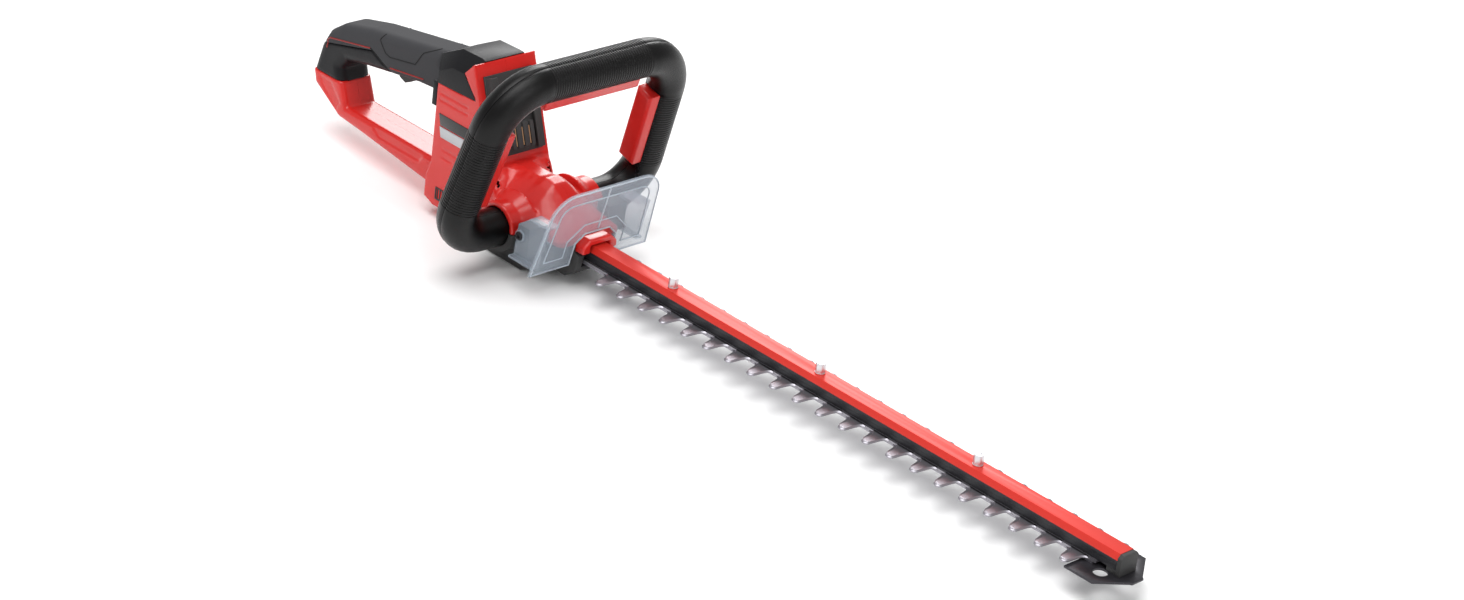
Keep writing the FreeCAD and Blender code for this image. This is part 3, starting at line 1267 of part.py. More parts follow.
def make_electrics():
    """Control board, main switch and trigger with its pin and spring."""
    board_x = D.tower_back + D.wall + 8
    board = [
        box("tool_board", (board_x, -24, D.split + 18), (board_x + 1.6, 24, D.tower_top - 12)),
        rod("tool_capacitor", board_x + 1.6, -12, D.split + 30, 5, 6, "X"),
        box("tool_power_chip", (board_x + 1.6, 2, D.split + 26), (board_x + 5, 14, D.split + 38)),
        box("tool_logic_chip", (board_x + 1.6, -18, D.split + 48), (board_x + 4, -6, D.split + 62)),
    ]
    keep(fuse("control_board", board), "control_board")
    px, pz = D.trigger_pin_x, D.trigger_pin_z
    keep(box("main_switch", (px - 36, -D.trigger_half, pz + 1.5), (px - 8, D.trigger_half, pz + 8)),
         "main_switch")
    lever = [
        (px + 4, pz + 4),
        (px + 4, pz - 8),
        (px - 8, pz - 13),
        (px - 24, pz - 15),
        (px - 31, pz - 21),
        (px - 38, pz - 24.5),
        (px - 45, pz - 22),
        (px - 48, pz - 12),
        (px - 46, pz - 6),
        (px - 40, pz - 5),
        (px - 12, pz - 3),
        (px - 4, pz + 4),
    ]
    trigger = side_plate("trigger_lever", lever, D.trigger_half)
    hole = circle_sketch(trigger, "XZ_Plane", [(px, pz, D.pin + D.fit_gap)])
    add_pocket(trigger, hole, D.trigger_half * 4, midplane=True)
    low = float(pz - 14)
    side = float(D.trigger_half)
    round_edges(trigger, 2, lambda e: (at_side(e, side) or at_side(e, -side)) and e.BoundBox.ZMax < low)
    keep(trigger, "trigger_lever")
    keep(rod("trigger_pin", px, -D.trigger_half - 3.5, pz, D.pin, D.trigger_half * 2 + 7, "Y"), "trigger_pin")
    helix = Part.makeHelix(2.4, 12, 2)
    circle = Part.Wire(Part.Circle(Vector(2, 0, 0), Vector(0, 1, 0), 0.3).toShape())
    spring = Part.Wire(helix.Edges).makePipeShell([circle], True, True)
    keep(shaped("trigger_spring", spring,
                Placement(Vector(float(px) - 41, 0, float(pz) - 4.6), Rotation())), "trigger_spring")


# ---- Fasteners of the shells ----

def make_shell_screws():
    """Screws that join the shells, from the left-hand side, and those up through the base."""
    places = [
        (D.handle_back + 18, D.handle_low + 14),
        (D.tower_back - 60, D.keel + 20),
        (D.tower_back + 6, D.tower_top - 16),
        (D.tower_back + 6, D.keel + 12),
        (D.hood_front - 22, D.split + 4),
    ]
    depths = [D.handle_half, D.handle_half, D.shell_half, D.shell_half, D.shell_half]
    screws = []
    for i, ((x, z), depth) in enumerate(zip(places, depths)):
        screws.append(rod(f"tool_shell_screw_{i}", x, depth, z, 3, 0.4, "Y"))
    keep(group("housing_screws", screws), "housing_screws")
    heads = [rod(f"tool_base_screw_{i}", x, y, 0.4, 3, 1.4) for i, (x, y) in enumerate(BASE_SCREWS)]
    keep(group("base_screws", heads), "base_screws")


make_housing()
make_grip()
make_shroud()
make_base()
make_nose_cap()
make_small_trim()
make_hoop()
make_guard()
make_rail()
make_blades()
make_drive()
make_motor_case()
make_gear_case()
make_dock()
make_electrics()
make_shell_screws()
doc.recompute()

for obj in doc.Objects:
    if "Invalid" in obj.State or "Error" in obj.State:
        raise RuntimeError(f"{obj.Name} failed: {obj.State}")
names = [obj.Label for obj in parts]
if len(set(names)) != len(names):
    raise RuntimeError("two sub-parts share a name")
for obj in parts:
    if obj.Shape.isNull() or not obj.Shape.isValid() or not obj.Shape.Solids:
        raise RuntimeError(f"{obj.Label} has no valid solid")
    if not re.fullmatch(r"[a-z_]+", obj.Label):
        raise RuntimeError(f"{obj.Label} is not a plain name")

os.makedirs("parts", exist_ok=True)
for obj in parts:
    obj.Shape.exportStep(f"parts/{obj.Label}.step")
print(len(parts), "sub-parts written")
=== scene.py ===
import bmesh
import bpy
import json
import math
from bpy.props import FloatProperty, FloatVectorProperty, IntProperty
from mathutils import Matrix, Vector
from mathutils.bvhtree import BVHTree


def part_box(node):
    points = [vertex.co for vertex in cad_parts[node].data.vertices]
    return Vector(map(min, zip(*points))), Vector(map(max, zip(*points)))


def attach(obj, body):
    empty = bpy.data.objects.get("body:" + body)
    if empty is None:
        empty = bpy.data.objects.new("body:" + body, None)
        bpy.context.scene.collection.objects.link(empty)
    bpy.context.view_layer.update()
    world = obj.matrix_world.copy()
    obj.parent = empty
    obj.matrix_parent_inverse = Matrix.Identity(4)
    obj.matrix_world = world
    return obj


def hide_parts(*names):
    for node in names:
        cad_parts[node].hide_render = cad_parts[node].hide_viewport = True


bl_info = {
    "name": "Hedge Trimmer",
    "version": (1, 0, 0),
    "blender": (4, 5, 0),
    "location": "View3D > Sidebar > Trimmer",
    "description": "Builds the finished surfaces of a battery hedge trimmer round its fixed frame",
    "category": "Object",
}

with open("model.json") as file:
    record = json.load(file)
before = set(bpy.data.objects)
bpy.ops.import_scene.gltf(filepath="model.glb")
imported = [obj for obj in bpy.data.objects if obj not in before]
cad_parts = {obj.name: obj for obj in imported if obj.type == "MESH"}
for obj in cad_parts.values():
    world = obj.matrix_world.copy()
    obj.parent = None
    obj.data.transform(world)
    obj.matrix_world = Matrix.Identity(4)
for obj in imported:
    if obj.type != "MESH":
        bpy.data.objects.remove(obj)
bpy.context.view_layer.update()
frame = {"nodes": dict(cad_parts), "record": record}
MM = 0.001
BODY_OF = {node: body for body, nodes in frame["record"]["behaviour"]["bodies"].items() for node in nodes}


# ---- Sizes and colours that a user would change ----

def length(name, description, millimetres):
    return FloatProperty(name=name, description=description, default=millimetres * MM, unit="LENGTH",
                         precision=5)


def tint(name, description, colour):
    return FloatVectorProperty(name=name, description=description, subtype="COLOR", size=3, min=0, max=1,
                               default=colour)


class TrimmerSizes(bpy.types.PropertyGroup):
    """Sizes of the finished surfaces."""
    rib_pitch: length("Rib pitch", "Distance between ribs on the hoop", 2.7)
    rib_depth: length("Rib depth", "Depth of the grooves between the ribs", 1.0)
    tube: length("Tube", "Radius of the hoop's tube", 17.5)
    tube_wall: length("Tube wall", "Wall of the hoop's tube", 2.5)
    hoop_rise: length("Hoop rise", "Leg axis to top bar axis", 160)
    hoop_low_half: length("Hoop low half", "Half width at the leg axis", 111.6)
    hoop_top_half: length("Hoop top half", "Half width at the top bar axis", 99.5)
    hoop_low_bend: length("Lower bend", "Radius of the lower bends", 35)
    hoop_top_bend: length("Upper bend", "Radius of the upper bends", 45)
    hoop_leg_end: length("Leg end", "Inner end of the legs from the middle", 37)
    hoop_lean: FloatProperty(name="Hoop lean", description="Forward lean of the hoop", subtype="ANGLE",
                             default=math.radians(15.6))
    grain: length("Shell grid", "Grid that the moulded shells are built on", 1.3)
    tooth_pitch: length("Tooth pitch", "Distance between blade teeth", 27)
    tooth_tip: length("Tooth tip", "Half width of a tooth's rounded tip", 4.4)
    right_teeth: IntProperty(name="Right teeth", description="Teeth on the right-hand side", default=21)
    left_teeth: IntProperty(name="Left teeth", description="Teeth on the left-hand side", default=22)


class TrimmerColours(bpy.types.PropertyGroup):
    """Colours of the finishes."""
    red: tint("Red shell", "Moulded red shells", (0.24, 0.005, 0.003))
    charcoal: tint("Grip", "Soft rear grip", (0.0030, 0.0030, 0.0038))
    black: tint("Black plastic", "Harder black mouldings", (0.0018, 0.0016, 0.0017))
    guard: tint("Guard", "Tint of the clear guard", (0.60, 0.66, 0.73))
    steel: tint("Blade steel", "Fingertips of the blades", (0.52, 0.51, 0.58))
    dark_steel: tint("Dark steel", "Spine of the blades and the tip plate", (0.045, 0.043, 0.050))


def sizes():
    return bpy.context.scene.trimmer_sizes


def colours():
    return bpy.context.scene.trimmer_colours


# ---- Node helpers ----

def fill(tree, node, inputs):
    """Links a node's inputs to sockets, or sets them to values."""
    for key, value in inputs.items():
        if isinstance(value, bpy.types.NodeSocket):
            tree.links.new(value, node.inputs[key])
        else:
            node.inputs[key].default_value = value
    return node


def add_node(tree, kind, inputs=None, **settings):
    node = tree.nodes.new(kind)
    for key, value in settings.items():
        setattr(node, key, value)
    return fill(tree, node, inputs or {})


def new_tree(name, kind, inputs, outputs):
    """A node group with named inputs and outputs, and its two end nodes."""
    tree = bpy.data.node_groups.new(name, kind)
    for label, socket, default in inputs:
        made = tree.interface.new_socket(label, in_out="INPUT", socket_type="NodeSocket" + socket)
        if default is not None:
            made.default_value = default
    for label, socket in outputs:
        tree.interface.new_socket(label, in_out="OUTPUT", socket_type="NodeSocket" + socket)
    return tree, tree.nodes.new("NodeGroupInput"), tree.nodes.new("NodeGroupOutput")


def shared_group(name):
    """Makes a builder give the node group of that name, built only once."""
    def wrap(build):
        return lambda: bpy.data.node_groups.get(name) or build(name)
    return wrap


def maths(tree, operation, first, second=0.0, third=0.0):
    return add_node(tree, "ShaderNodeMath", {0: first, 1: second, 2: third}, operation=operation).outputs[0]


def noise(tree, place, scale, detail):
    return add_node(tree, "ShaderNodeTexNoise", {"Vector": place, "Scale": scale, "Detail": detail}).outputs["Fac"]


# ---- Shared effects ----

@shared_group("Moulded Grain")
def grain_group(name):
    """Fine moulded grain: a height, and a slow mottle for roughness and colour."""
    tree, ends, out = new_tree(name, "ShaderNodeTree", [
        ("Coordinates", "Vector", None), ("Scale", "Float", 900.0), ("Mottle Scale", "Float", 30.0),
    ], [("Height", "Float"), ("Mottle", "Float")])
    place, scale = ends.outputs["Coordinates"], ends.outputs["Scale"]
    cells = add_node(tree, "ShaderNodeTexVoronoi", {"Vector": place, "Scale": scale}).outputs["Distance"]
    fill(tree, out, {"Height": maths(tree, "MULTIPLY_ADD", cells, 0.6, noise(tree, place, scale, 2.0)),
                     "Mottle": noise(tree, place, ends.outputs["Mottle Scale"], 4.0)})
    return tree


@shared_group("Edge Wear")
def edge_highlight_group(name):
    """A mask of the outward edges, broken up by noise, where a lighter colour is painted on as a highlight."""
    tree, ends, out = new_tree(name, "ShaderNodeTree", [
        ("Coordinates", "Vector", None), ("Start", "Float", 0.52), ("Full", "Float", 0.62),
    ], [("Mask", "Float")])
    shape = add_node(tree, "ShaderNodeNewGeometry")
    edges = add_node(tree, "ShaderNodeMapRange", {"Value": shape.outputs["Pointiness"],
                                                  "From Min": ends.outputs["Start"],
                                                  "From Max": ends.outputs["Full"]}).outputs["Result"]
    patches = noise(tree, ends.outputs["Coordinates"], 120.0, 3.0)
    fill(tree, out, {"Mask": maths(tree, "MULTIPLY", edges, patches)})
    return tree


@shared_group("Brushed Lines")
def brushed_group(name):
    """Long fine lines along one direction, as grinding and drawing leave them."""
    tree, ends, out = new_tree(name, "ShaderNodeTree", [
        ("Coordinates", "Vector", None), ("Stretch", "Vector", (20.0, 900.0, 900.0)),
    ], [("Height", "Float"), ("Streak", "Float")])
    place = ends.outputs["Coordinates"]
    stretched = add_node(tree, "ShaderNodeMapping", {"Vector": place, "Scale": ends.outputs["Stretch"]})
    lines = noise(tree, stretched.outputs["Vector"], 1.0, 3.0)
    smudge = maths(tree, "MULTIPLY", noise(tree, place, 25.0, 3.0), 0.4)
    fill(tree, out, {"Height": lines, "Streak": maths(tree, "MULTIPLY_ADD", lines, 0.6, smudge)})
    return tree


# ---- Finishes ----

def start_material(name):
    """An empty material, its shader and object coordinates."""
    material = bpy.data.materials.new(name)
    material.use_nodes = True
    tree = material.node_tree
    shader = tree.nodes["Principled BSDF"]
    coordinates = add_node(tree, "ShaderNodeTexCoord").outputs["Object"]
    return material, tree, shader, coordinates


def shade(colour, factor):
    return tuple(min(1.0, channel * factor) for channel in colour) + (1.0,)


def mixed(tree, factor, first, second):
    node = add_node(tree, "ShaderNodeMix", {0: factor, 6: first, 7: second}, data_type="RGBA")
    return node.outputs[2]


def spread(tree, value, low, high):
    node = add_node(tree, "ShaderNodeMapRange", {"Value": value, "From Min": 0.3, "From Max": 0.7,
                                                 "To Min": low, "To Max": high})
    return node.outputs["Result"]


def bump(tree, height, depth, distance=0.5 * MM):
    return add_node(tree, "ShaderNodeBump", {"Strength": depth, "Distance": distance,
                                             "Height": height}).outputs["Normal"]


def effect(tree, place, group, **constants):
    """A shared effect in a material, with its constants set on its sockets."""
    return add_node(tree, "ShaderNodeGroup", {"Coordinates": place, **constants}, node_tree=group)


def painted_edge_highlights(tree, place, wear, base, highlight_colour):
    """A colour, with a lighter one painted along the outward edges as a highlight."""
    mask = effect(tree, place, edge_highlight_group()).outputs["Mask"]
    return mixed(tree, maths(tree, "MULTIPLY", mask, wear), base, highlight_colour)


def moulded_plastic(name, colour, roughness, depth, scale=900.0, coat=0.0, wear=0.25, specular=0.5,
                    edge_tint=1.9):
    """Moulded plastic or rubber: grain, mottled gloss and painted highlights along the edges."""
    material, tree, shader, place = start_material(name)
    grain = effect(tree, place, grain_group(), Scale=scale)
    mottle = grain.outputs["Mottle"]
    base = mixed(tree, mottle, shade(colour, 0.90), shade(colour, 1.10))
    fill(tree, shader, {
        # The base colour turns lighter along the outward edges: a painted highlight.
        "Base Color": painted_edge_highlights(tree, place, wear, base, shade(colour, edge_tint)),
        "Roughness": spread(tree, mottle, roughness - 0.04, roughness + 0.05),
        "Coat Weight": coat, "Coat Roughness": 0.12, "Specular IOR Level": specular,
        "Normal": bump(tree, grain.outputs["Height"], depth)})
    return material


def worked_metal(name, colour, roughness, stretch, depth=0.08, metallic=1.0, wear=0.5):
    """Metal with grinding lines, smudges and painted highlights along the edges."""
    material, tree, shader, place = start_material(name)
    lines = effect(tree, place, brushed_group(), Stretch=stretch)
    streak = lines.outputs["Streak"]
    base = mixed(tree, streak, shade(colour, 0.82), shade(colour, 1.14))
    fill(tree, shader, {
        # The base colour turns lighter along the outward edges: a painted highlight.
        "Base Color": painted_edge_highlights(tree, place, wear, base, shade(colour, 1.7)),
        "Roughness": spread(tree, streak, roughness - 0.06, roughness + 0.08),
        "Metallic": metallic, "Normal": bump(tree, lines.outputs["Height"], depth, 0.3 * MM)})
    return material


def blade_finish(name):
    """Blade steel: dark oiled spine, bright ground fingertips."""
    material, tree, shader, place = start_material(name)
    lines = effect(tree, place, brushed_group(), Stretch=(700.0, 40.0, 700.0))
    streak = lines.outputs["Streak"]
    dark, light = shade(colours().dark_steel, 1.0), shade(colours().steel, 1.0)
    across = add_node(tree, "ShaderNodeSeparateXYZ", {"Vector": place}).outputs["Y"]
    uneven = maths(tree, "MULTIPLY_ADD", streak, 4 * MM, maths(tree, "ABSOLUTE", across))
    tips = add_node(tree, "ShaderNodeMapRange", {"Value": uneven, "From Min": 19.5 * MM, "From Max": 24.5 * MM})
    base = mixed(tree, tips.outputs["Result"], dark, light)
    streaked = mixed(tree, maths(tree, "MULTIPLY", streak, 0.25), base, dark)
    fill(tree, shader, {
        # Painted highlight along the outward edges, in a lighter steel.
        "Base Color": painted_edge_highlights(tree, place, 0.9, streaked, shade(colours().steel, 1.5)),
        "Roughness": spread(tree, streak, 0.30, 0.44), "Metallic": 0.9,
        "Normal": bump(tree, lines.outputs["Height"], 0.06, 0.3 * MM)})
    return material


def clear_plastic(name, scale, tints, gloss, clearness, index, specular, depth):
    """Smoky clear polycarbonate with a slightly matt, handled surface."""
    material, tree, shader, place = start_material(name)
    grain = effect(tree, place, grain_group(), Scale=scale)
    mottle = grain.outputs["Mottle"]
    low, high = [shade(colours().guard, factor) for factor in tints]
    fill(tree, shader, {
        "Base Color": mixed(tree, mottle, low, high), "Roughness": spread(tree, mottle, *gloss),
        "Transmission Weight": clearness, "IOR": index, "Specular IOR Level": specular,
        "Normal": bump(tree, grain.outputs["Height"], depth)})
    return material


def board_finish(name):
    """Green laminate with lighter tracks."""
    material, tree, shader, place = start_material(name)
    tracks = add_node(tree, "ShaderNodeTexBrick", {
        "Vector": place, "Scale": 260.0, "Mortar Size": 0.03, "Color1": (0.01, 0.07, 0.025, 1),
        "Color2": (0.012, 0.09, 0.03, 1), "Mortar": (0.05, 0.22, 0.08, 1)})
    fill(tree, shader, {"Base Color": tracks.outputs["Color"],
                        "Roughness": spread(tree, tracks.outputs["Fac"], 0.35, 0.5)})
    return material


def make_finish(name):
    """The material of a slot, by the slot's name."""
    c = colours()
    # Colour, roughness and depth of the grain, then what differs from common plastic.
    plastics = {
        # The strength and lightness of each painted edge highlight are set here too.
        "red_plastic": (c.red, 0.25, 0.05, dict(wear=0.5, edge_tint=1.5, specular=0.12)),
        "red_coat": (shade(c.red, 1.4)[:3], 0.28, 0.03, dict(wear=0.6, edge_tint=1.4, specular=0.2)),
        "red_inlay": (c.red, 0.4, 0.1, dict(wear=0.2, edge_tint=1.3)),
        "black_plastic": (c.black, 0.42, 0.18, dict(wear=0.5, edge_tint=3.0)),
        "hoop_skin": (c.black, 0.30, 0.30, dict(scale=1500.0, wear=0.45, edge_tint=3.5, specular=0.25)),
        "soft_grip": (c.charcoal, 0.48, 0.30, dict(scale=1400.0, wear=0.5, edge_tint=2.2, specular=0.08)),
        "shroud_skin": (shade(c.charcoal, 1.7)[:3], 0.46, 0.25, dict(wear=0.4, specular=0.22)),
        "black_steel": ((0.006, 0.0055, 0.006), 0.16, 0.02, dict(wear=0.3, specular=0.3)),
        "magnet": ((0.05, 0.05, 0.052), 0.6, 0.5, {}),
        "felt": ((0.20, 0.19, 0.16), 0.95, 1.0, dict(scale=2500.0)),
        "label_black": ((0.008, 0.009, 0.012), 0.18, 0.01, dict(coat=0.6, wear=0.1)),
        "groove_shadow": ((0.003, 0.003, 0.003), 0.8, 0.1, dict(wear=0.0)),
    }
    # Colour, roughness and stretch of the lines, then what differs from common metal.
    metals = {
        "tip_steel": (c.dark_steel, 0.38, (20.0, 900.0, 900.0), dict(depth=0.05, metallic=0.7)),
        "zinc": ((0.62, 0.61, 0.60), 0.28, (300.0, 300.0, 60.0), {}),
        "gear_steel": ((0.36, 0.35, 0.34), 0.32, (200.0, 200.0, 60.0), {}),
        "cast_case": ((0.50, 0.50, 0.52), 0.55, (150.0, 150.0, 150.0), dict(depth=0.4)),
        "motor_steel": ((0.42, 0.42, 0.44), 0.35, (60.0, 60.0, 900.0), {}),
        "copper": ((0.72, 0.34, 0.17), 0.30, (300.0, 300.0, 60.0), {}),
        "label_silver": ((0.46, 0.47, 0.49), 0.40, (30.0, 600.0, 600.0), dict(depth=0.04, wear=0.1)),
    }
    # Scale, tints, gloss, clearness, index, specular level and depth of the grain.
    clear = {
        "clear_guard": (500.0, (0.93, 1.05), (0.16, 0.26), 0.82, 1.25, 0.9, 0.02),
        "guard_edge": (900.0, (0.9, 1.1), (0.14, 0.22), 0.35, 1.3, 0.5, 0.0),
    }
    for makes, recipes in ((moulded_plastic, plastics), (worked_metal, metals)):
        if name in recipes:
            *plain, differs = recipes[name]
            return makes(name, *plain, **differs)
    if name in clear:
        return clear_plastic(name, *clear[name])
    return {"blade_steel": blade_finish, "board": board_finish}[name](name)


def finish(name):
    return bpy.data.materials.get(name) or make_finish(name)


# ---- Mesh helpers ----

def merged_copy(*nodes):
    """One bmesh with the closed surfaces of some frame nodes."""
    made = bmesh.new()
    for node in nodes:
        made.from_mesh(frame["nodes"][node].data)
    bmesh.ops.remove_doubles(made, verts=made.verts, dist=0.002 * MM)
    return made


def object_from(made, name):
    """An object with a bmesh as its mesh."""
    mesh = bpy.data.meshes.new(name)
    made.to_mesh(mesh)
    made.free()
    return linked(name, mesh)


def linked(name, mesh):
    obj = bpy.data.objects.new(name, mesh)
    bpy.context.scene.collection.objects.link(obj)
    return obj


def evaluated_mesh(obj):
    return bpy.data.meshes.new_from_object(obj.evaluated_get(bpy.context.evaluated_depsgraph_get()))


def apply_modifiers(obj):
    """Turns the evaluated object into its own plain mesh."""
    mesh = evaluated_mesh(obj)
    obj.modifiers.clear()
    obj.data = mesh
    return obj


def cut_with(obj, tools, operation="DIFFERENCE"):
    """Cuts closed tool objects out of an object, or joins them with it, and deletes them."""
    for tool in tools:
        step = obj.modifiers.new("cut", "BOOLEAN")
        step.operation = operation
        step.solver = "EXACT"
        step.object = tool
    apply_modifiers(obj)
    for tool in tools:
        bpy.data.objects.remove(tool)
    return obj


def bevel(obj, width, segments=2):
    step = obj.modifiers.new("edges", "BEVEL")
    step.width = width
    step.segments = segments
    step.limit_method = "ANGLE"
    step.angle_limit = math.radians(28)
    step.use_clamp_overlap = True
    return apply_modifiers(obj)


def finished(obj, material, body, replaced=(), smooth=32):
    """Gives a piece its material, shading and body, and hides the frame nodes that it stands for."""
    obj.data.materials.clear()
    obj.data.materials.append(finish(material))
    for face in obj.data.polygons:
        face.use_smooth = True
        face.material_index = 0
    obj.data.set_sharp_from_angle(angle=math.radians(smooth))
    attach(obj, body)
    if replaced:
        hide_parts(*replaced)
    return obj


def softened(node, material, width, segments=2):
    """A frame node with its moulded or machined edges rounded."""
    made = merged_copy(node)
    bmesh.ops.dissolve_limit(made, angle_limit=math.radians(0.6), verts=made.verts, edges=made.edges)
    obj = object_from(made, node + "_finished")
    bevel(obj, width, segments)
    return finished(obj, material, BODY_OF[node], [node])


def millimetres(points):
    return [tuple(value * MM for value in point) for point in points]


def span(side, near, far):
    """Low and high Y of a stretch on one side, from its distances from the middle in millimetres."""
    return sorted((side * near * MM, side * far * MM))


def mirrored(points):
    return [(-x, y) for x, y in reversed(points)]


def rectangle(left, low, right, high):
    return [(left, low), (right, low), (right, high), (left, high)]


def polygon(sides, radius, centre=(0.0, 0.0), turn=0):
    angles = [math.radians(360 / sides * i + turn) for i in range(sides)]
    return [(centre[0] + radius * math.cos(angle), centre[1] + radius * math.sin(angle)) for angle in angles]


def bar_between(start, end, half):
    """The outline of a straight groove between two points, with rounded ends."""
    start, end = Vector(start), Vector(end)
    along = (end - start).normalized()
    across = Vector((-along.y, along.x))
    points = []
    for centre, first in ((end, -90), (start, 90)):
        for step in range(5):
            angle = math.radians(first + 45 * step)
            points.append(centre + (along * math.cos(angle) + across * math.sin(angle)) * half)
    return [tuple(p) for p in points]


def bridge(made, rings):
    """Faces between each closed ring of vertices and the next."""
    count = len(rings[0])
    for before, after in zip(rings, rings[1:]):
        for i in range(count):
            j = (i + 1) % count
            made.faces.new((before[i], before[j], after[j], after[i]))


def cap(made, ring):
    """Closes the hole inside a ring of vertices."""
    edges = [made.edges.get(pair) for pair in zip(ring, ring[1:] + ring[:1])]
    bmesh.ops.triangle_fill(made, edges=edges, use_beauty=True)


def closed_object(made, name):
    """An object with a bmesh as its mesh, its normals outward."""
    bmesh.ops.recalc_face_normals(made, faces=made.faces)
    return object_from(made, name)


def prism(name, outline, low, high, upright=False):
    """A closed solid with an outline in XZ between two places along Y, or in XY along Z if upright."""
    made = bmesh.new()
    near, far = [[made.verts.new((a, b, depth) if upright else (a, depth, b)) for a, b in outline]
                 for depth in (low, high)]
    made.faces.new(near)
    made.faces.new(list(reversed(far)))
    count = len(outline)
    for i in range(count):
        j = (i + 1) % count
        made.faces.new((near[i], far[i], far[j], near[j]))
    return closed_object(made, name)


def rod_mesh(name, centre, radius, low, high, upright=False, sides=64, end_radius=None):
    """A closed cylinder or cone along Y, or along Z if upright."""
    made = bmesh.new()
    bmesh.ops.create_cone(made, cap_ends=True, segments=sides, radius1=radius, depth=high - low,
                          radius2=radius if end_radius is None else end_radius)
    turn = Matrix.Identity(4) if upright else Matrix.Rotation(-math.pi / 2, 4, "X")
    along = Vector((0, 0, 1)) if upright else Vector((0, 1, 0))
    bmesh.ops.transform(made, matrix=Matrix.Translation(Vector(centre) + along * (low + high) / 2) @ turn,
                        verts=made.verts)
    return object_from(made, name)


def joined(name, objects):
    """One object with the meshes of several."""
    made = bmesh.new()
    for obj in objects:
        made.from_mesh(obj.data)
        bpy.data.objects.remove(obj)
    return object_from(made, name)


def regrown(obj, grid, passes):
    """Fuses overlapping solids into one skin on a fine grid and smooths it."""
    step = obj.modifiers.new("skin", "REMESH")
    step.mode = "VOXEL"
    step.voxel_size = grid
    step.use_smooth_shade = True
    ease = obj.modifiers.new("ease", "SMOOTH")
    ease.factor = 0.5
    ease.iterations = passes
    return apply_modifiers(obj)


def half_of(obj, name, side, gap):
    """The part of a closed mesh on one side of the middle, closed again along the seam."""
    made = bmesh.new()
    made.from_mesh(obj.data)
    cut = bmesh.ops.bisect_plane(made, geom=made.verts[:] + made.edges[:] + made.faces[:], dist=1e-7,
                                 plane_co=(0, side * gap, 0), plane_no=(0, -side, 0), clear_outer=True)
    seam = [e for e in cut["geom_cut"] if isinstance(e, bmesh.types.BMEdge)]
    bmesh.ops.triangle_fill(made, edges=seam, use_beauty=True)
    return closed_object(made, name)


def tube_along(name, points, radius):
    """A closed thin tube through points."""
    curve = bpy.data.curves.new(name, "CURVE")
    curve.dimensions = "3D"
    curve.bevel_depth = radius
    curve.bevel_resolution = 1
    curve.use_fill_caps = True
    line = curve.splines.new("POLY")
    line.points.add(len(points) - 1)
    for spot, point in zip(line.points, points):
        spot.co = (*point, 1.0)
    holder = linked(name, curve)
    mesh = evaluated_mesh(holder)
    bpy.data.objects.remove(holder)
    made = bmesh.new()
    made.from_mesh(mesh)
    bmesh.ops.remove_doubles(made, verts=made.verts, dist=0.001 * MM)
    return closed_object(made, name)


def on_surface(targets, outline, side):
    """Points (X, Z) in steps along an outline, laid on the surface as seen from one side."""
    step, outside = 1.5 * MM, 80 * MM
    made = bmesh.new()
    for target in targets:
        made.from_mesh(target.data)
    tree = BVHTree.FromBMesh(made)
    made.free()
    points = []
    for first, second in zip(outline, outline[1:]):
        first, second = Vector(first), Vector(second)
        count = max(1, round((second - first).length / step))
        for i in range(count + (second == Vector(outline[-1]))):
            spot = first.lerp(second, i / count)
            hit = tree.ray_cast(Vector((spot.x, side * outside, spot.y)), Vector((0, -side, 0)))[0]
            if hit is not None:
                points.append(hit)
    return points


# ---- Geometry node trees ----

def grow(obj, tree, values):
    """Runs a geometry node tree on an object and keeps the result as a plain mesh."""
    step = obj.modifiers.new(tree.name, "NODES")
    step.node_group = tree
    identifiers = {item.name: item.identifier for item in tree.interface.items_tree
                   if item.in_out == "INPUT"}
    for label, value in values.items():
        step[identifiers[label]] = value
    return apply_modifiers(obj)


def end_tree(tree, ends, out, geometry):
    """Ends a tree: makes its copies real and gives them the material."""
    real = add_node(tree, "GeometryNodeRealizeInstances", {"Geometry": geometry})
    done = add_node(tree, "GeometryNodeSetMaterial", {"Geometry": real.outputs["Geometry"],
                                                      "Material": ends.outputs["Material"]})
    fill(tree, out, {"Geometry": done.outputs["Geometry"]})
    return tree


@shared_group("Pressed Ribs")
def ribs_tree(name):
    """Presses ribs into a tube: the mesh carries where each point is along the tube, and its way out."""
    tree, ends, out = new_tree(name, "GeometryNodeTree", [
        ("Geometry", "Geometry", None), ("Pitch", "Float", 2.7 * MM), ("Depth", "Float", 0.7 * MM),
        ("Sharpness", "Float", 5.0), ("Material", "Material", None),
    ], [("Geometry", "Geometry")])

    def named(label, kind):
        return add_node(tree, "GeometryNodeInputNamedAttribute", {"Name": label},
                        data_type=kind).outputs["Attribute"]

    turns = maths(tree, "DIVIDE", named("along", "FLOAT"), ends.outputs["Pitch"])
    saw = maths(tree, "ABSOLUTE", maths(tree, "MULTIPLY_ADD", maths(tree, "FRACT", turns), 2.0, -1.0))
    groove = maths(tree, "POWER", saw, ends.outputs["Sharpness"])
    depth = maths(tree, "MULTIPLY", maths(tree, "MULTIPLY", groove, ends.outputs["Depth"]),
                  named("ribbed", "FLOAT"))
    offset = add_node(tree, "ShaderNodeVectorMath", {
        0: named("outward", "FLOAT_VECTOR"), "Scale": maths(tree, "MULTIPLY", depth, -1.0)}, operation="SCALE")
    moved = add_node(tree, "GeometryNodeSetPosition", {"Geometry": ends.outputs["Geometry"],
                                                       "Offset": offset.outputs["Vector"]})
    return end_tree(tree, ends, out, moved.outputs["Geometry"])


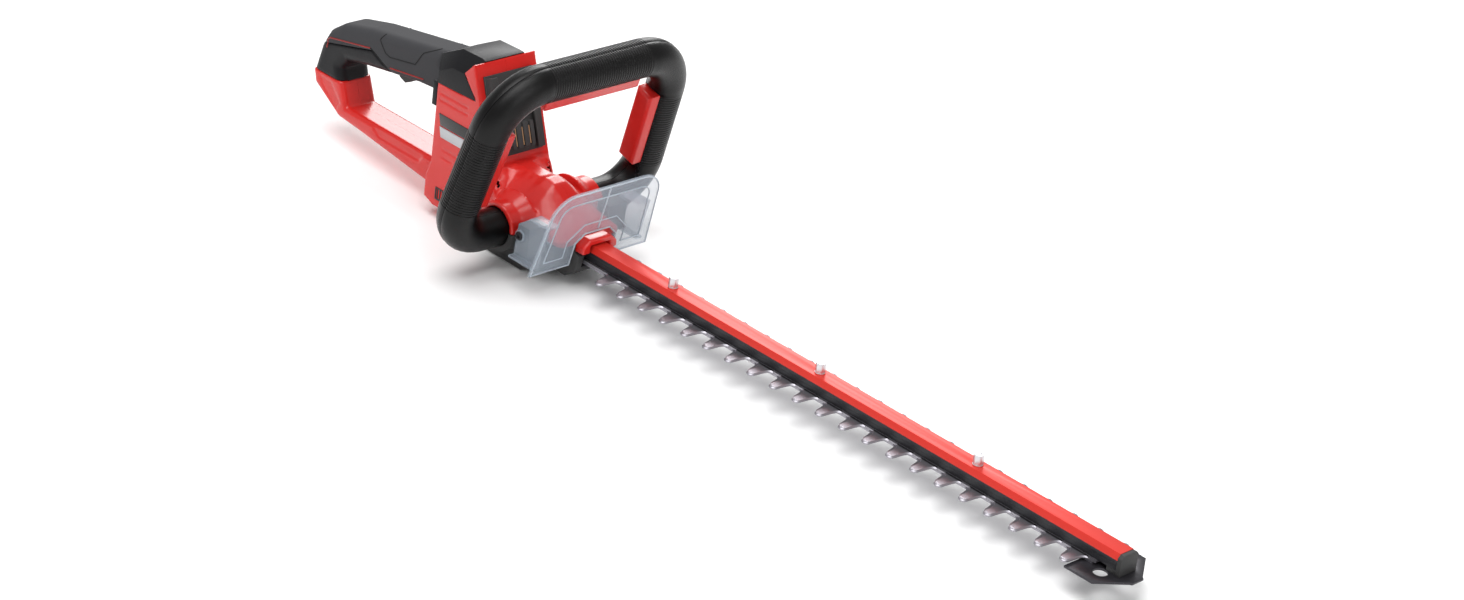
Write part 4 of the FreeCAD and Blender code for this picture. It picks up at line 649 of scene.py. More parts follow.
@shared_group("Blade Teeth")
def teeth_tree(name):
    """Adds a row of teeth to each side of a blade's spine."""
    tree, ends, out = new_tree(name, "GeometryNodeTree", [
        ("Geometry", "Geometry", None), ("Tooth", "Object", None), ("Pitch", "Float", 27 * MM),
        ("Right Count", "Int", 21), ("Left Count", "Int", 22), ("Right Start", "Vector", None),
        ("Left Start", "Vector", None), ("Material", "Material", None),
    ], [("Geometry", "Geometry")])
    tooth = add_node(tree, "GeometryNodeObjectInfo", {"Object": ends.outputs["Tooth"]})
    offset = add_node(tree, "ShaderNodeCombineXYZ", {"X": ends.outputs["Pitch"]}).outputs["Vector"]
    together = add_node(tree, "GeometryNodeJoinGeometry", {"Geometry": ends.outputs["Geometry"]})
    for side, turn in (("Right", 0.0), ("Left", math.pi)):
        row = add_node(tree, "GeometryNodeMeshLine", {
            "Count": ends.outputs[side + " Count"], "Start Location": ends.outputs[side + " Start"],
            "Offset": offset})
        spun = add_node(tree, "ShaderNodeCombineXYZ", {"Z": turn}).outputs["Vector"]
        copies = add_node(tree, "GeometryNodeInstanceOnPoints", {
            "Points": row.outputs["Mesh"], "Instance": tooth.outputs["Geometry"], "Rotation": spun})
        fill(tree, together, {"Geometry": copies.outputs["Instances"]})
    return end_tree(tree, ends, out, together.outputs["Geometry"])


@shared_group("Copies At Points")
def copies_tree(name):
    """Puts a copy of a piece at each point."""
    tree, ends, out = new_tree(name, "GeometryNodeTree", [
        ("Geometry", "Geometry", None), ("Piece", "Object", None), ("Material", "Material", None),
    ], [("Geometry", "Geometry")])
    piece = add_node(tree, "GeometryNodeObjectInfo", {"Object": ends.outputs["Piece"]})
    copies = add_node(tree, "GeometryNodeInstanceOnPoints", {
        "Points": ends.outputs["Geometry"], "Instance": piece.outputs["Geometry"]})
    return end_tree(tree, ends, out, copies.outputs["Instances"])


def copies_at(name, places, piece, material):
    """One mesh with a copy of a piece at each place. The piece itself is deleted."""
    mesh = bpy.data.meshes.new(name)
    mesh.from_pydata([tuple(p) for p in places], [], [])
    obj = linked(name, mesh)
    grow(obj, copies_tree(), {"Piece": piece, "Material": finish(material)})
    bpy.data.objects.remove(piece)
    return obj


def loose_centres(node):
    """The middle and the size of each separate solid of a frame node."""
    made = merged_copy(node)
    left = set(made.verts)
    found = []
    while left:
        queue = [left.pop()]
        island = []
        while queue:
            vert = queue.pop()
            island.append(vert.co.copy())
            for edge in vert.link_edges:
                other = edge.other_vert(vert)
                if other in left:
                    left.remove(other)
                    queue.append(other)
        low = Vector([min(c[i] for c in island) for i in range(3)])
        high = Vector([max(c[i] for c in island) for i in range(3)])
        found.append((low, high))
    made.free()
    return sorted(found, key=lambda pair: tuple(pair[0]))


# ---- Pieces ----

# Where the camera stands, and its tilt, turn and roll in degrees.
CAMERA_PLACE = (2.1086, -2.0248, 1.4329)
CAMERA_TILT, CAMERA_TURN, CAMERA_ROLL = 63.530, 42.6704, 7.654
CAMERA_LENS = 89.72
# Name, place, size and power of each light. They all point at the middle of the tool.
LIGHTS = (("key", (0.3, -0.8, 2.8), 2.6, 76), ("back", (-1.7, 1.9, 1.5), 1.6, 46),
          ("front", (2.6, -0.4, 1.4), 1.2, 16))
LIGHT_AIM = (0.15, 0, 0.1)
SKY_LIGHT = 0.45


class TRIMMER_OT_stage(bpy.types.Operator):
    """Camera, pale floor and soft studio lights"""
    bl_idname = "trimmer.stage"
    bl_label = "Stage"

    def execute(self, context):
        self.camera(context.scene)
        self.floor()
        for name, place, size, power in LIGHTS:
            self.light(name, place, size, power)
        self.world(context.scene)
        context.scene.view_settings.view_transform = "Standard"
        return {"FINISHED"}

    def camera(self, scene):
        lens = bpy.data.cameras.new("camera")
        lens.lens = CAMERA_LENS
        lens.sensor_width = 36
        lens.clip_end = 50
        camera = linked("camera", lens)
        camera.location = CAMERA_PLACE
        turn = Matrix.Rotation(math.radians(CAMERA_TURN), 3, "Z")
        turn = turn @ Matrix.Rotation(math.radians(CAMERA_TILT), 3, "X")
        turn = turn @ Matrix.Rotation(math.radians(CAMERA_ROLL), 3, "Z")
        camera.rotation_euler = turn.to_euler()
        scene.camera = camera

    def floor(self):
        made = bmesh.new()
        bmesh.ops.create_grid(made, x_segments=1, y_segments=1, size=8)
        floor = object_from(made, "floor")
        material, tree, shader, place = start_material("pale_floor")
        cloud = noise(tree, place, 1.5, 2.0)
        fill(tree, shader, {"Base Color": mixed(tree, cloud, (0.93, 0.93, 0.93, 1), (0.95, 0.95, 0.95, 1)),
                            "Roughness": 0.9, "Specular IOR Level": 0.1})
        floor.data.materials.append(material)

    def light(self, name, place, size, power):
        data = bpy.data.lights.new(name, "AREA")
        data.shape = "DISK"
        data.size = size
        data.energy = power
        lamp = linked(name, data)
        lamp.location = place
        lamp.rotation_euler = (Vector(LIGHT_AIM) - Vector(place)).to_track_quat("-Z", "Y").to_euler()

    def world(self, scene):
        """White behind the tool, and dimmer white as the light that falls on it."""
        world = bpy.data.worlds.new("studio")
        scene.world = world
        world.use_nodes = True
        tree = world.node_tree
        path = add_node(tree, "ShaderNodeLightPath")
        strength = add_node(tree, "ShaderNodeMapRange", {"Value": path.outputs["Is Camera Ray"],
                                                         "To Min": SKY_LIGHT, "To Max": 1.0})
        fill(tree, tree.nodes["Background"], {"Strength": strength.outputs["Result"], "Color": (1, 1, 1, 1)})


# Side outline of the hood's top along X, and the flat strip along its middle. Outside the strip the hood
# falls by a share of its height, which grows from nothing at the tower to all of it further forward.
HOOD_TOP = millimetres([(-40, 78), (1, 78), (9, 80), (20, 78), (66, 51), (70, 51)])
HOOD_BASE = 45 * MM
HOOD_HALF = 35.5 * MM
HOOD_FLAT = 8 * MM
HOOD_FALL = 0.80
HOOD_CURVE = 1.15
TOWER_FRONT = -34.5 * MM
FALL_STARTS, FALL_ENDS = -34 * MM, -20 * MM
COLLAR_X = 1.3 * MM
SPLIT = 41 * MM


def between(outline, x):
    for (x0, z0), (x1, z1) in zip(outline, outline[1:]):
        if x0 <= x <= x1:
            return z0 + (z1 - z0) * (x - x0) / (x1 - x0)
    return outline[-1][1] if x > outline[-1][0] else outline[0][1]


def eased(value, start, end):
    t = min(1.0, max(0.0, (value - start) / (end - start)))
    return t * t * (3 - 2 * t)


def crown_hood(made):
    """Lets the hood fall away from its ridge to both sides, as a moulded dome."""
    for vert in made.verts:
        x, y, z = vert.co
        if z <= HOOD_BASE or x < TOWER_FRONT:
            continue
        top = between(HOOD_TOP, x)
        side = min(1.0, max(0.0, abs(y) - HOOD_FLAT) / (HOOD_HALF - HOOD_FLAT))
        kept = 1 - HOOD_FALL * side ** HOOD_CURVE * eased(x, FALL_STARTS, FALL_ENDS)
        new_top = HOOD_BASE + (top - HOOD_BASE) * kept
        vert.co.z = HOOD_BASE + (new_top - HOOD_BASE) * (z - HOOD_BASE) / max(top - HOOD_BASE, 1 * MM)


def collar(side):
    """The bell round a hoop leg: a flared sleeve with a rolled lip, over the base cover."""
    centre = (COLLAR_X, 0, SPLIT)
    start_radius, end_radius = (30 * MM, 22.6 * MM) if side > 0 else (22.6 * MM, 30 * MM)
    sleeve = rod_mesh("collar_sleeve", centre, 22.6 * MM, *span(side, 30, 54.6))
    flare = rod_mesh("collar_flare", centre, start_radius, *span(side, 30, 43), end_radius=end_radius)
    made = bmesh.new()
    turns, around = 64, 12
    rings = []
    for i in range(turns):
        angle = 2 * math.pi * i / turns
        ring = []
        for j in range(around):
            roll = 2 * math.pi * j / around
            radius = 21.4 * MM + 1.6 * MM * math.cos(roll)
            ring.append(made.verts.new((COLLAR_X + radius * math.cos(angle),
                                        side * 53.2 * MM + 1.7 * MM * math.sin(roll),
                                        SPLIT + radius * math.sin(angle))))
        rings.append(ring)
    bridge(made, rings + rings[:1])
    bell = joined("collar_bell", [sleeve, flare, closed_object(made, "collar_lip")])
    regrown(bell, 1.0 * MM, 2)
    bore = rod_mesh("collar_bore", centre, 17.9 * MM, *span(side, 29, 60))
    low = prism("collar_low", millimetres(rectangle(-60, -5, 70, 41.2)), *span(side, 28, 62))
    return cut_with(bell, [bore, low])


# Height and front end of each groove in the tower's sides, and where the higher and lower ones start.
TOWER_GROOVES = ((122, -70), (115.5, -69), (70, -79), (62.5, -84))
HIGH_GROOVES_START, LOW_GROOVES_START = -108, -98
BAR_PANEL = millimetres([(-216, 40.5), (-206, 47), (-137, 47), (-147, 33), (-205, 33)])
POST_PANEL = millimetres([(-297, 63), (-278, 63), (-262, 46), (-268, 36), (-290, 52)])


class TRIMMER_OT_housing(bpy.types.Operator):
    """The two red shells, with crowned hood, collars, grooves and recesses"""
    bl_idname = "trimmer.housing"
    bl_label = "Housing Shells"

    def execute(self, context):
        made = merged_copy("housing_right", "housing_left")
        seam = [f for f in made.faces if all(abs(v.co.y) < 0.01 * MM for v in f.verts)]
        bmesh.ops.delete(made, geom=seam, context="FACES")
        bmesh.ops.remove_doubles(made, verts=made.verts, dist=0.01 * MM)
        shell = object_from(made, "shell_work")
        tools = []
        for side in (-1, 1):
            tools.append(prism("collar_off", millimetres(rectangle(-40, 30, 60, 90)), *span(side, 35.6, 70)))
            for height, front in TOWER_GROOVES:
                start = HIGH_GROOVES_START if height > 100 else LOW_GROOVES_START
                groove = bar_between((start * MM, height * MM), (front * MM, height * MM), 1.6 * MM)
                tools.append(prism("tower_groove", groove, *span(side, 34.3, 40)))
            tools.append(prism("bar_panel", BAR_PANEL, *span(side, 17.6, 22)))
            tools.append(prism("post_panel", POST_PANEL, *span(side, 18.0, 22)))
        cut_with(shell, tools)
        made = bmesh.new()
        made.from_mesh(shell.data)
        bmesh.ops.triangulate(made, faces=made.faces)
        for _ in range(3):
            long = [e for e in made.edges if e.calc_length() > 8 * MM
                    and max(v.co.x for v in e.verts) > -40 * MM]
            bmesh.ops.subdivide_edges(made, edges=long, cuts=1)
            bmesh.ops.triangulate(made, faces=[f for f in made.faces if len(f.verts) > 3])
        crown_hood(made)
        bpy.data.objects.remove(shell)
        shell = object_from(made, "shell_work")
        shell = joined("shell_work", [shell, collar(-1), collar(1)])
        regrown(shell, sizes().grain, 3)
        for node, side in (("housing_right", -1), ("housing_left", 1)):
            half = half_of(shell, node + "_finished", side, 0.06 * MM)
            finished(half, "red_plastic", "body", [node], smooth=50)
        bpy.data.objects.remove(shell)
        return {"FINISHED"}


class TRIMMER_OT_covers(bpy.types.Operator):
    """Base cover, nose, shroud, trim, vents and blank label plates"""
    bl_idname = "trimmer.covers"
    bl_label = "Covers and Trim"

    def execute(self, context):
        for node, material, width, segments in (
                ("base_cover", "black_plastic", 0.9, 2), ("nose_cap", "red_plastic", 1.2, 3),
                ("tower_shroud", "shroud_skin", 2.2, 4), ("tower_trim", "shroud_skin", 0.8, 2),
                ("battery_dock", "black_plastic", 0.5, 2), ("terminal_block", "black_plastic", 0.4, 2)):
            softened(node, material, width * MM, segments)
        self.vents()
        self.labels()
        return {"FINISHED"}

    def vents(self):
        """A framed grille of upright slats on each side."""
        frames = []
        rim, half_slat, slats = 1.4 * MM, 0.5 * MM, 5
        for low, high in loose_centres("vent_inserts"):
            depth = high.y - low.y
            outer = prism("vent_frame", rectangle(low.x, low.z, high.x, high.z), low.y, high.y)
            inner = prism("vent_hole", rectangle(low.x + rim, low.z + rim, high.x - rim, high.z - rim),
                          low.y - MM, high.y + MM)
            frames.append(bevel(cut_with(outer, [inner]), 0.25 * MM))
            slat = prism("vent_slat", rectangle(-half_slat, low.z + half_slat, half_slat, high.z - half_slat),
                         -depth * 0.35, depth * 0.35)
            step = (high.x - low.x - 2 * rim) / slats
            places = [(low.x + rim + (i + 0.5) * step, (low.y + high.y) / 2, 0) for i in range(slats)]
            frames.append(copies_at("vent_slats", places, slat, "black_plastic"))
        vents = joined("vent_inserts_finished", frames)
        finished(vents, "black_plastic", "body", ["vent_inserts"])

    def labels(self):
        """Blank plates: the higher one black, the lower one silver."""
        plates = sorted(loose_centres("label_plates"), key=lambda pair: -pair[0].z)
        for (low, high), name, material in zip(plates, ("upper", "lower"), ("label_black", "label_silver")):
            outline = [(low.x + (high.x - low.x) * a, low.z + (high.z - low.z) * b)
                       for a, b in ((0.06, 0), (0.94, 0), (1, 1), (0, 1))]
            plate = prism("label_plate_" + name, outline, low.y, high.y)
            bevel(plate, 0.3 * MM)
            finished(plate, material, "body", ["label_plates"] if name == "upper" else [])


class TRIMMER_OT_grip(bpy.types.Operator):
    """Soft rear grip with painted shadow along its panel lines, red inlays and underside"""
    bl_idname = "trimmer.grip"
    bl_label = "Rear Grip"

    LINE_UPPER = millimetres([(-287, 93), (-287, 101), (-283.5, 104), (-226, 115.6)])
    LINE_GROOVE = millimetres([(-226, 115.6), (-219, 113), (-200.5, 105.2)])
    LINE_LOWER = millimetres([(-196.6, 107.2), (-150, 114.4)])
    PANEL = millimetres([(-206, 144), (-213.5, 129), (-204.5, 119), (-198, 117.4), (-163, 124), (-153, 139),
                         (-134, 149.5)])

    def execute(self, context):
        skins = []
        for node, passes in (("rear_grip", 7), ("rear_grip_underside", 5)):
            skins.append(regrown(object_from(merged_copy(node), node + "_finished"), 1.2 * MM, passes))
        grip, under = skins
        # The red tubes are inlays; the near-black ones are painted shadow in the panel grooves.
        reds, shadow_tubes = [], []
        for side in (-1, 1):
            for tubes, line, radius in ((reds, self.LINE_UPPER, 0.75), (reds, self.LINE_LOWER, 0.75),
                                        (shadow_tubes, self.LINE_GROOVE, 0.7), (shadow_tubes, self.PANEL, 0.55)):
                tubes.append(tube_along("line", on_surface(skins, line, side), radius * MM))
            boss = rod_mesh("boss", (-287.5 * MM, 0, 93 * MM), 3.4 * MM, *span(side, 14, 17.8), sides=32)
            reds.append(bevel(boss, 0.5 * MM))
        inlay = joined("grip_red_inlay", reds)
        finished(inlay, "red_inlay", "body")
        # Near-black tubes laid along the panel lines: painted groove shadow.
        shadow = joined("grip_panel_lines", shadow_tubes)
        finished(shadow, "groove_shadow", "body")
        finished(grip, "soft_grip", "body", ["rear_grip"], smooth=60)
        finished(under, "shroud_skin", "body", ["rear_grip_underside"], smooth=60)
        softened("trigger_lever", "black_plastic", 1.0 * MM, 3)
        return {"FINISHED"}


# ---- Hoop ----

def hoop_axes():
    """Origin, across, up and forward directions of the hoop's own leaning plane."""
    lean = sizes().hoop_lean
    return (Vector((COLLAR_X, 0, SPLIT)), Vector((0, 1, 0)), Vector((math.sin(lean), 0, math.cos(lean))),
            Vector((math.cos(lean), 0, -math.sin(lean))))


def swing(vector, angle):
    """A vector in the hoop's plane, turned by an angle."""
    return Vector((vector.x * math.cos(angle) - vector.y * math.sin(angle),
                   vector.x * math.sin(angle) + vector.y * math.cos(angle)))


def hoop_path():
    """Stations along the tube: place and direction in the hoop's plane, distance, rib strength and slot."""
    s = sizes()
    corners = [(-s.hoop_leg_end, 0, 0), (-s.hoop_low_half, 0, s.hoop_low_bend),
               (-s.hoop_top_half, s.hoop_rise, s.hoop_top_bend), (s.hoop_top_half, s.hoop_rise, s.hoop_top_bend),
               (s.hoop_low_half, 0, s.hoop_low_bend), (s.hoop_leg_end, 0, 0)]
    bend_steps = 14
    straight_step = rib_fade = slot_start = 3.0 * MM
    stations = []
    travelled = 0.0
    start = Vector(corners[0][:2])
    for index in range(1, len(corners)):
        here = Vector(corners[index][:2])
        into = (here - Vector(corners[index - 1][:2])).normalized()
        bends = index < len(corners) - 1
        enter = here
        if bends:
            onward = (Vector(corners[index + 1][:2]) - here).normalized()
            turn = into.angle(onward)
            radius = corners[index][2]
            enter = here - into * radius * math.tan(turn / 2)
        length_here = (enter - start).length
        ribbed_run = index in (2, 3, 4)
        count = round(length_here / (s.rib_pitch / 6)) if ribbed_run else max(2, round(length_here / straight_step))
        for i in range(count + 1):
            distance = length_here * i / count
            fade = min(1.0, distance / rib_fade, (length_here - distance) / rib_fade) if ribbed_run else 0.0
            # A side bar's slot runs from just above the lower bend to the start of the upper one.
            from_low = {2: distance, 3: length_here, 4: length_here - distance}.get(index, 0.0)
            stations.append((start + into * distance, into, travelled + distance, fade, from_low > slot_start))
        travelled += length_here
        if bends:
            centre = enter + Vector((into.y, -into.x)) * radius
            for i in range(1, bend_steps):
                angle = -turn * i / bend_steps
                stations.append((centre + swing(enter - centre, angle), swing(into, angle),
                                 travelled - radius * angle, 0.0, False))
            travelled += radius * turn
            start = here + onward * radius * math.tan(turn / 2)
    return stations


def hoop_shell(name, facing):
    """Half of the hoop's tube, on its front (+1) or rear (-1), slotted for the switch bars."""
    s = sizes()
    origin, across, up, forward = hoop_axes()
    inner_radius = s.tube - s.tube_wall
    seam_gap = 0.25 * MM
    slot_half = 10.3 * MM
    steps = 26
    made = bmesh.new()
    along = made.verts.layers.float.new("along")
    ribbed = made.verts.layers.float.new("ribbed")
    outward = made.verts.layers.float_vector.new("outward")
    rings = []
    for place, heading, distance, fade, slotted in hoop_path():
        centre = origin + across * place.x + up * place.y
        away = across * -heading.y + up * heading.x
        ring = []
        for radius in (s.tube, inner_radius):
            first = math.asin(seam_gap / radius)
            last = math.pi - math.asin((slot_half if slotted else seam_gap) / radius)
            row = []
            for i in range(steps + 1):
                angle = first + (last - first) * i / steps
                way = away * math.cos(angle) + forward * (facing * math.sin(angle))
                seam_edge = 0.6 * MM if radius == s.tube and i == 0 else 0.0
                vert = made.verts.new(centre + way * (radius - seam_edge))
                vert[along] = distance
                vert[ribbed] = fade if radius == s.tube else 0.0
                vert[outward] = way
                row.append(vert)
            ring.append(row)
        rings.append(ring[0] + list(reversed(ring[1])))
    bridge(made, rings)
    made.faces.new(rings[0])
    made.faces.new(list(reversed(rings[-1])))
    obj = closed_object(made, name + "_finished")
    grow(obj, ribs_tree(), {"Pitch": s.rib_pitch, "Depth": s.rib_depth, "Material": finish("hoop_skin")})
    return finished(obj, "hoop_skin", "body", [name], smooth=70)


class TRIMMER_OT_hoop(bpy.types.Operator):
    """Ribbed front hoop in two shells, and its three switch bars"""
    bl_idname = "trimmer.hoop"
    bl_label = "Front Hoop"

    def execute(self, context):
        hoop_shell("hoop_front_shell", 1)
        hoop_shell("hoop_rear_shell", -1)
        for place in ("top", "left", "right"):
            softened("switch_bar_" + place, "red_plastic", 0.9 * MM, 3)
        return {"FINISHED"}


# ---- Guard ----

def inset(outline, distance):
    """A closed outline moved inwards by a distance, corner by corner."""
    count = len(outline)
    moved = []
    for i in range(count):
        here = Vector(outline[i])
        into = (here - Vector(outline[i - 1])).normalized()
        onward = (Vector(outline[(i + 1) % count]) - here).normalized()
        side_in = Vector((into.y, -into.x))
        side_out = Vector((onward.y, -onward.x))
        middle = (side_in + side_out).normalized()
        moved.append(here + middle * distance / max(0.35, middle.dot(side_in)))
    return moved


def guard_outline():
    """The guard's front outline in its own leaning plane, clockwise: across and up its face."""
    low_half, top_half, tall, corner, slack = 69.0, 63.4, 82.0, 24.0, 0.4
    half, arch, slope_across, slope_up = 22.5, 32.0, 8.5, 8
    left = [(-low_half, 0)]
    for i in range(9):
        angle = math.radians(90 * i / 8)
        left.append((-top_half + corner * (1 - math.cos(angle)) - slack * (1 - i / 8),
                     tall - corner * (1 - math.sin(angle))))
    notch = [(half, 0), (half, arch - slope_up), (half - slope_across, arch)]
    return millimetres(left + mirrored(left) + notch + mirrored(notch))


# The foot of the guard's face, its lean, and the screw at each side.
GUARD_FOOT = Vector((63 * MM, 0, 23 * MM))
GUARD_LEAN = math.radians(13.7)
GUARD_SCREW = (40 * MM, 0, 50 * MM)


def on_guard(point, level):
    """A point of the guard's face, and a level in millimetres out of it, as a place."""
    rise = Vector((math.sin(GUARD_LEAN), 0, math.cos(GUARD_LEAN)))
    out = Vector((math.cos(GUARD_LEAN), 0, -math.sin(GUARD_LEAN)))
    return GUARD_FOOT + Vector((0, 1, 0)) * point[0] + rise * point[1] + out * level * MM


class TRIMMER_OT_guard(bpy.types.Operator):
    """Clear hand guard with a thick rim, an embossed loop, a ridge and side brackets"""
    bl_idname = "trimmer.guard"
    bl_label = "Hand Guard"

    def execute(self, context):
        guard = joined("guard_finished", [self.plate()] + self.brackets())
        finished(joined("guard_edges_finished", self.edges()), "guard_edge", "body")
        finished(guard, "clear_guard", "body", ["guard"], smooth=35)
        screws = []
        for side in (-1, 1):
            head = rod_mesh("screw", GUARD_SCREW, 3.9 * MM, *span(side, 60, 62.8), sides=32)
            hexagon = polygon(6, 2.2 * MM, (GUARD_SCREW[0], GUARD_SCREW[2]))
            socket = prism("socket", hexagon, *span(side, 61.2, 65))
            screws.append(bevel(cut_with(head, [socket]), 0.35 * MM))
        finished(joined("guard_screws_finished", screws), "black_steel", "body", ["guard_screws"])
        return {"FINISHED"}

    def plate(self):
        """The face, thicker at its rim and along the loop inside it."""
        # Distance in from the edge, front and back of the face there.
        profile = [(0.0, 2.2, 0.3), (0.35, 2.5, 0.0), (1.9, 2.5, 0.0), (2.5, 1.9, 0.5), (10.5, 1.9, 0.5),
                   (11.3, 2.5, 0.5), (12.3, 2.5, 0.5), (13.1, 1.9, 0.5)]
        made = bmesh.new()
        fronts, backs = [], []
        for depth, front, back in profile:
            loop = inset(guard_outline(), depth * MM)
            for rows, level in ((fronts, front), (backs, back)):
                rows.append([made.verts.new(on_guard(p, level)) for p in loop])
        for rows in (fronts, backs):
            bridge(made, rows)
            cap(made, rows[-1])
        bridge(made, [fronts[0], backs[0]])
        return closed_object(made, "guard_plate")

    def edges(self):
        """Beads along the upright ridge, the rim and the loop."""
        beads = [tube_along("guard_ridge", [on_guard((0, z * MM), 1.9) for z in (36, 50, 66, 79)], 0.8 * MM)]
        for depth, level, radius in ((1.0, 2.3, 0.75), (11.8, 2.2, 0.65)):
            loop = inset(guard_outline(), depth * MM)
            beads.append(tube_along("guard_edge", [on_guard(p, level) for p in loop + loop[:1]], radius * MM))
        return beads

    def brackets(self):
        """The web, roof, flange and ringed screw boss at each side."""
        made = []
        web = [(33, 29), (64.5, 29), (74.5, 70), (50, 70), (36, 60)]
        roof, flange = rectangle(49, 68, 73, 70), rectangle(32, 27, 64, 29.5)
        for side in (-1, 1):
            for outline, inner, outer in ((web, 57.5, 60), (roof, 46, 60), (flange, 58, 65)):
                solid = prism("guard_bracket", millimetres(outline), *span(side, inner, outer))
                made.append(bevel(solid, 0.5 * MM))
            ring = rod_mesh("guard_boss", GUARD_SCREW, 5.6 * MM, *span(side, 59.6, 61.6), sides=40)
            bore = rod_mesh("guard_bore", GUARD_SCREW, 4.1 * MM, *span(side, 50, 70), sides=40)
            made.append(bevel(cut_with(ring, [bore]), 0.4 * MM))
        return made


# ---- Rail and blades ----

def tooth(name, reach, thick, ground_up):
    """One blade tooth on its own, pointing to -Y: rounded fingertip, flared root and ground flanks."""
    tip = sizes().tooth_tip
    root = millimetres([(-10.5, -10.0), (-9.6, -12.0), (-7.6, -13.0), (-6.2, -15.0)])
    root.append((-tip - 0.9 * MM, -18.5 * MM))
    steps = 8
    end = []
    for i in range(steps + 1):
        angle = math.pi + math.pi * i / steps
        end.append((tip * math.cos(angle), tip * math.sin(angle) - (reach - tip)))
    outline = root + end + mirrored(root)
    narrow = [tuple(p) for p in reversed(inset(list(reversed(outline)), 1.1 * MM))]
    narrow[0] = (narrow[0][0], outline[0][1])
    narrow[-1] = (narrow[-1][0], outline[-1][1])
    levels = [(outline, 0.0), (outline, 0.45), (narrow, 1.0)]
    if not ground_up:
        levels = [(narrow, 0.0), (outline, 0.55), (outline, 1.0)]
    made = bmesh.new()
    rings = [[made.verts.new((x, y, thick * part)) for x, y in loop] for loop, part in levels]
    bridge(made, rings)
    cap(made, rings[0])
    cap(made, rings[-1])
    return closed_object(made, name)


def spine_of(node):
    """A blade's frame node without its teeth, so that finer ones take their place."""
    low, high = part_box(node)
    toothed = rectangle(60 * MM, low.z - MM, high.x + MM, high.z + MM)
    tools = [prism("teeth_off", toothed, *span(side, 11.6, 60)) for side in (-1, 1)]
    return cut_with(object_from(merged_copy(node), "blade_work"), tools)


FIRST_TOOTH = 110 * MM


class TRIMMER_OT_blades(bpy.types.Operator):
    """Upper and lower blade with ground, rounded teeth"""
    bl_idname = "trimmer.blades"
    bl_label = "Blades"

    def execute(self, context):
        s = sizes()
        # Shift along X, reach of the teeth from the middle, and whether they are ground on top.
        for node, shift, reach, ground_up in (("upper_blade_plate", 1.5 * MM, 32.2 * MM, True),
                                              ("lower_blade_plate", -1.5 * MM, 27.2 * MM, False)):
            low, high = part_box(node)
            cutter = tooth("tooth_pattern", reach, high.z - low.z, ground_up)
            blade = spine_of(node)
            first = FIRST_TOOTH + shift
            grow(blade, teeth_tree(), {
                "Tooth": cutter, "Pitch": s.tooth_pitch, "Right Count": s.right_teeth,
                "Left Count": s.left_teeth, "Right Start": (first, 0, low.z),
                "Left Start": (first - s.tooth_pitch / 2, 0, low.z), "Material": finish("blade_steel")})
            bpy.data.objects.remove(cutter)
            blade.name = node + "_finished"
            finished(blade, "blade_steel", BODY_OF[node], [node], smooth=25)
        return {"FINISHED"}


class TRIMMER_OT_rail(bpy.types.Operator):
    """Rail, its coated cap, end cap and the blunt tip plate"""
    bl_idname = "trimmer.rail"
    bl_label = "Rail and Tip"

    def execute(self, context):
        for node, material, width, segments in (
                ("rail_cap", "red_coat", 0.45, 3), ("rail_profile", "black_steel", 0.3, 2),
                ("guide_bar", "black_steel", 0.3, 2), ("rail_end_cap", "black_plastic", 0.8, 3),
                ("tip_plate", "tip_steel", 0.45, 3)):
            softened(node, material, width * MM, segments)
        return {"FINISHED"}


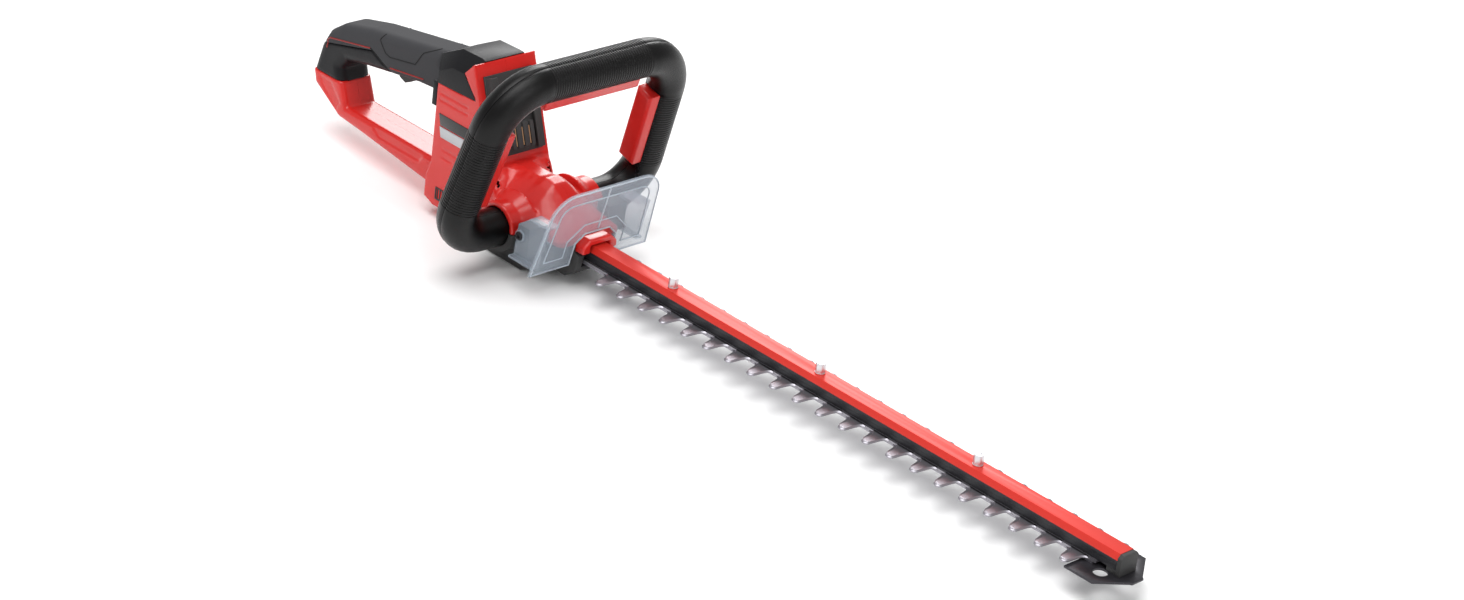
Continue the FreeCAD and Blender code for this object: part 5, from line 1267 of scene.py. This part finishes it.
class TRIMMER_OT_fasteners(bpy.types.Operator):
    """Hexagon nuts, bolts, washers and shell screws"""
    bl_idname = "trimmer.fasteners"
    bl_label = "Fasteners"

    def execute(self, context):
        nuts = loose_centres("blade_nuts")
        places = [((a.x + b.x) / 2, (a.y + b.y) / 2, a.z) for a, b in nuts]
        nut = self.nut(nuts[0][1].z - nuts[0][0].z)
        fitted = copies_at("blade_nuts_finished", places, nut, "zinc")
        finished(fitted, "zinc", "body", ["blade_nuts"], smooth=25)
        for node in ("blade_bolts", "bolt_washers"):
            softened(node, "zinc", 0.25 * MM)
        self.screws()
        return {"FINISHED"}

    def nut(self, tall):
        """A hexagon nut with a collar and chamfered corners, on its own."""
        flats = 4.0 * MM
        hexagon = polygon(6, flats / math.cos(math.radians(30)), turn=30)
        body = bevel(prism("nut_body", hexagon, 0.9 * MM, tall, upright=True), 0.3 * MM)
        top = rod_mesh("nut_top", (0, 0, 0), flats + 2.6 * MM, 0, tall + 0.001 * MM, upright=True, sides=48,
                       end_radius=flats - 0.1 * MM)
        cut_with(body, [top], "INTERSECT")
        skirt = rod_mesh("nut_collar", (0, 0, 0), 4.6 * MM, 0, 1.1 * MM, upright=True, sides=48)
        bore = rod_mesh("nut_bore", (0, 0, 0), 2.56 * MM, -MM, tall + MM, upright=True, sides=32)
        cut_with(body, [bevel(skirt, 0.2 * MM)], "UNION")
        return cut_with(body, [bore])

    def screws(self):
        """Shell screws with a six-lobed drive, at the left-hand side."""
        heads = loose_centres("housing_screws")
        low, high = heads[0]
        tall = high.y - low.y
        head = rod_mesh("shell_screw", (0, 0, 0), (high.x - low.x) / 2, 0, tall, sides=32)
        lobes = [((1.5 + 0.35 * (i % 2)) * MM * math.cos(math.radians(30 * i)),
                  (1.5 + 0.35 * (i % 2)) * MM * math.sin(math.radians(30 * i))) for i in range(12)]
        drive = prism("drive", lobes, tall * 0.4, tall + MM)
        bevel(cut_with(head, [drive]), 0.15 * MM)
        places = [((a.x + b.x) / 2, a.y, (a.z + b.z) / 2) for a, b in heads]
        fitted = copies_at("housing_screws_finished", places, head, "zinc")
        finished(fitted, "zinc", "body", ["housing_screws"])


class TRIMMER_OT_workings(bpy.types.Operator):
    """Finishes for the pieces inside, whose shapes are right as they are"""
    bl_idname = "trimmer.workings"
    bl_label = "Inner Workings"

    def execute(self, context):
        for entry in frame["record"]["subparts"]:
            obj = frame["nodes"][entry["node"]]
            material = finish(entry["material_slot"])
            obj.data.materials.clear()
            obj.data.materials.append(material)
            for face in obj.data.polygons:
                face.material_index = 0
        return {"FINISHED"}


class TRIMMER_PT_panel(bpy.types.Panel):
    """The trimmer's pieces and sizes"""
    bl_label = "Hedge Trimmer"
    bl_idname = "TRIMMER_PT_panel"
    bl_space_type = "VIEW_3D"
    bl_region_type = "UI"
    bl_category = "Trimmer"

    def draw(self, context):
        for operator in OPERATORS:
            self.layout.operator(operator.bl_idname)
        for settings in (context.scene.trimmer_sizes, context.scene.trimmer_colours):
            for name in settings.bl_rna.properties.keys():
                if name not in ("rna_type", "name"):
                    self.layout.prop(settings, name)


OPERATORS = (TRIMMER_OT_stage, TRIMMER_OT_workings, TRIMMER_OT_housing, TRIMMER_OT_covers, TRIMMER_OT_grip,
             TRIMMER_OT_hoop, TRIMMER_OT_guard, TRIMMER_OT_blades, TRIMMER_OT_rail, TRIMMER_OT_fasteners)
CLASSES = (TrimmerSizes, TrimmerColours) + OPERATORS + (TRIMMER_PT_panel,)


def register():
    for item in CLASSES:
        bpy.utils.register_class(item)
    bpy.types.Scene.trimmer_sizes = bpy.props.PointerProperty(type=TrimmerSizes)
    bpy.types.Scene.trimmer_colours = bpy.props.PointerProperty(type=TrimmerColours)


def unregister():
    del bpy.types.Scene.trimmer_colours
    del bpy.types.Scene.trimmer_sizes
    for item in reversed(CLASSES):
        bpy.utils.unregister_class(item)


def main():
    register()
    for operator in OPERATORS:
        group, name = operator.bl_idname.split(".")
        getattr(getattr(bpy.ops, group), name)()


if __name__ == "__main__":
    main()
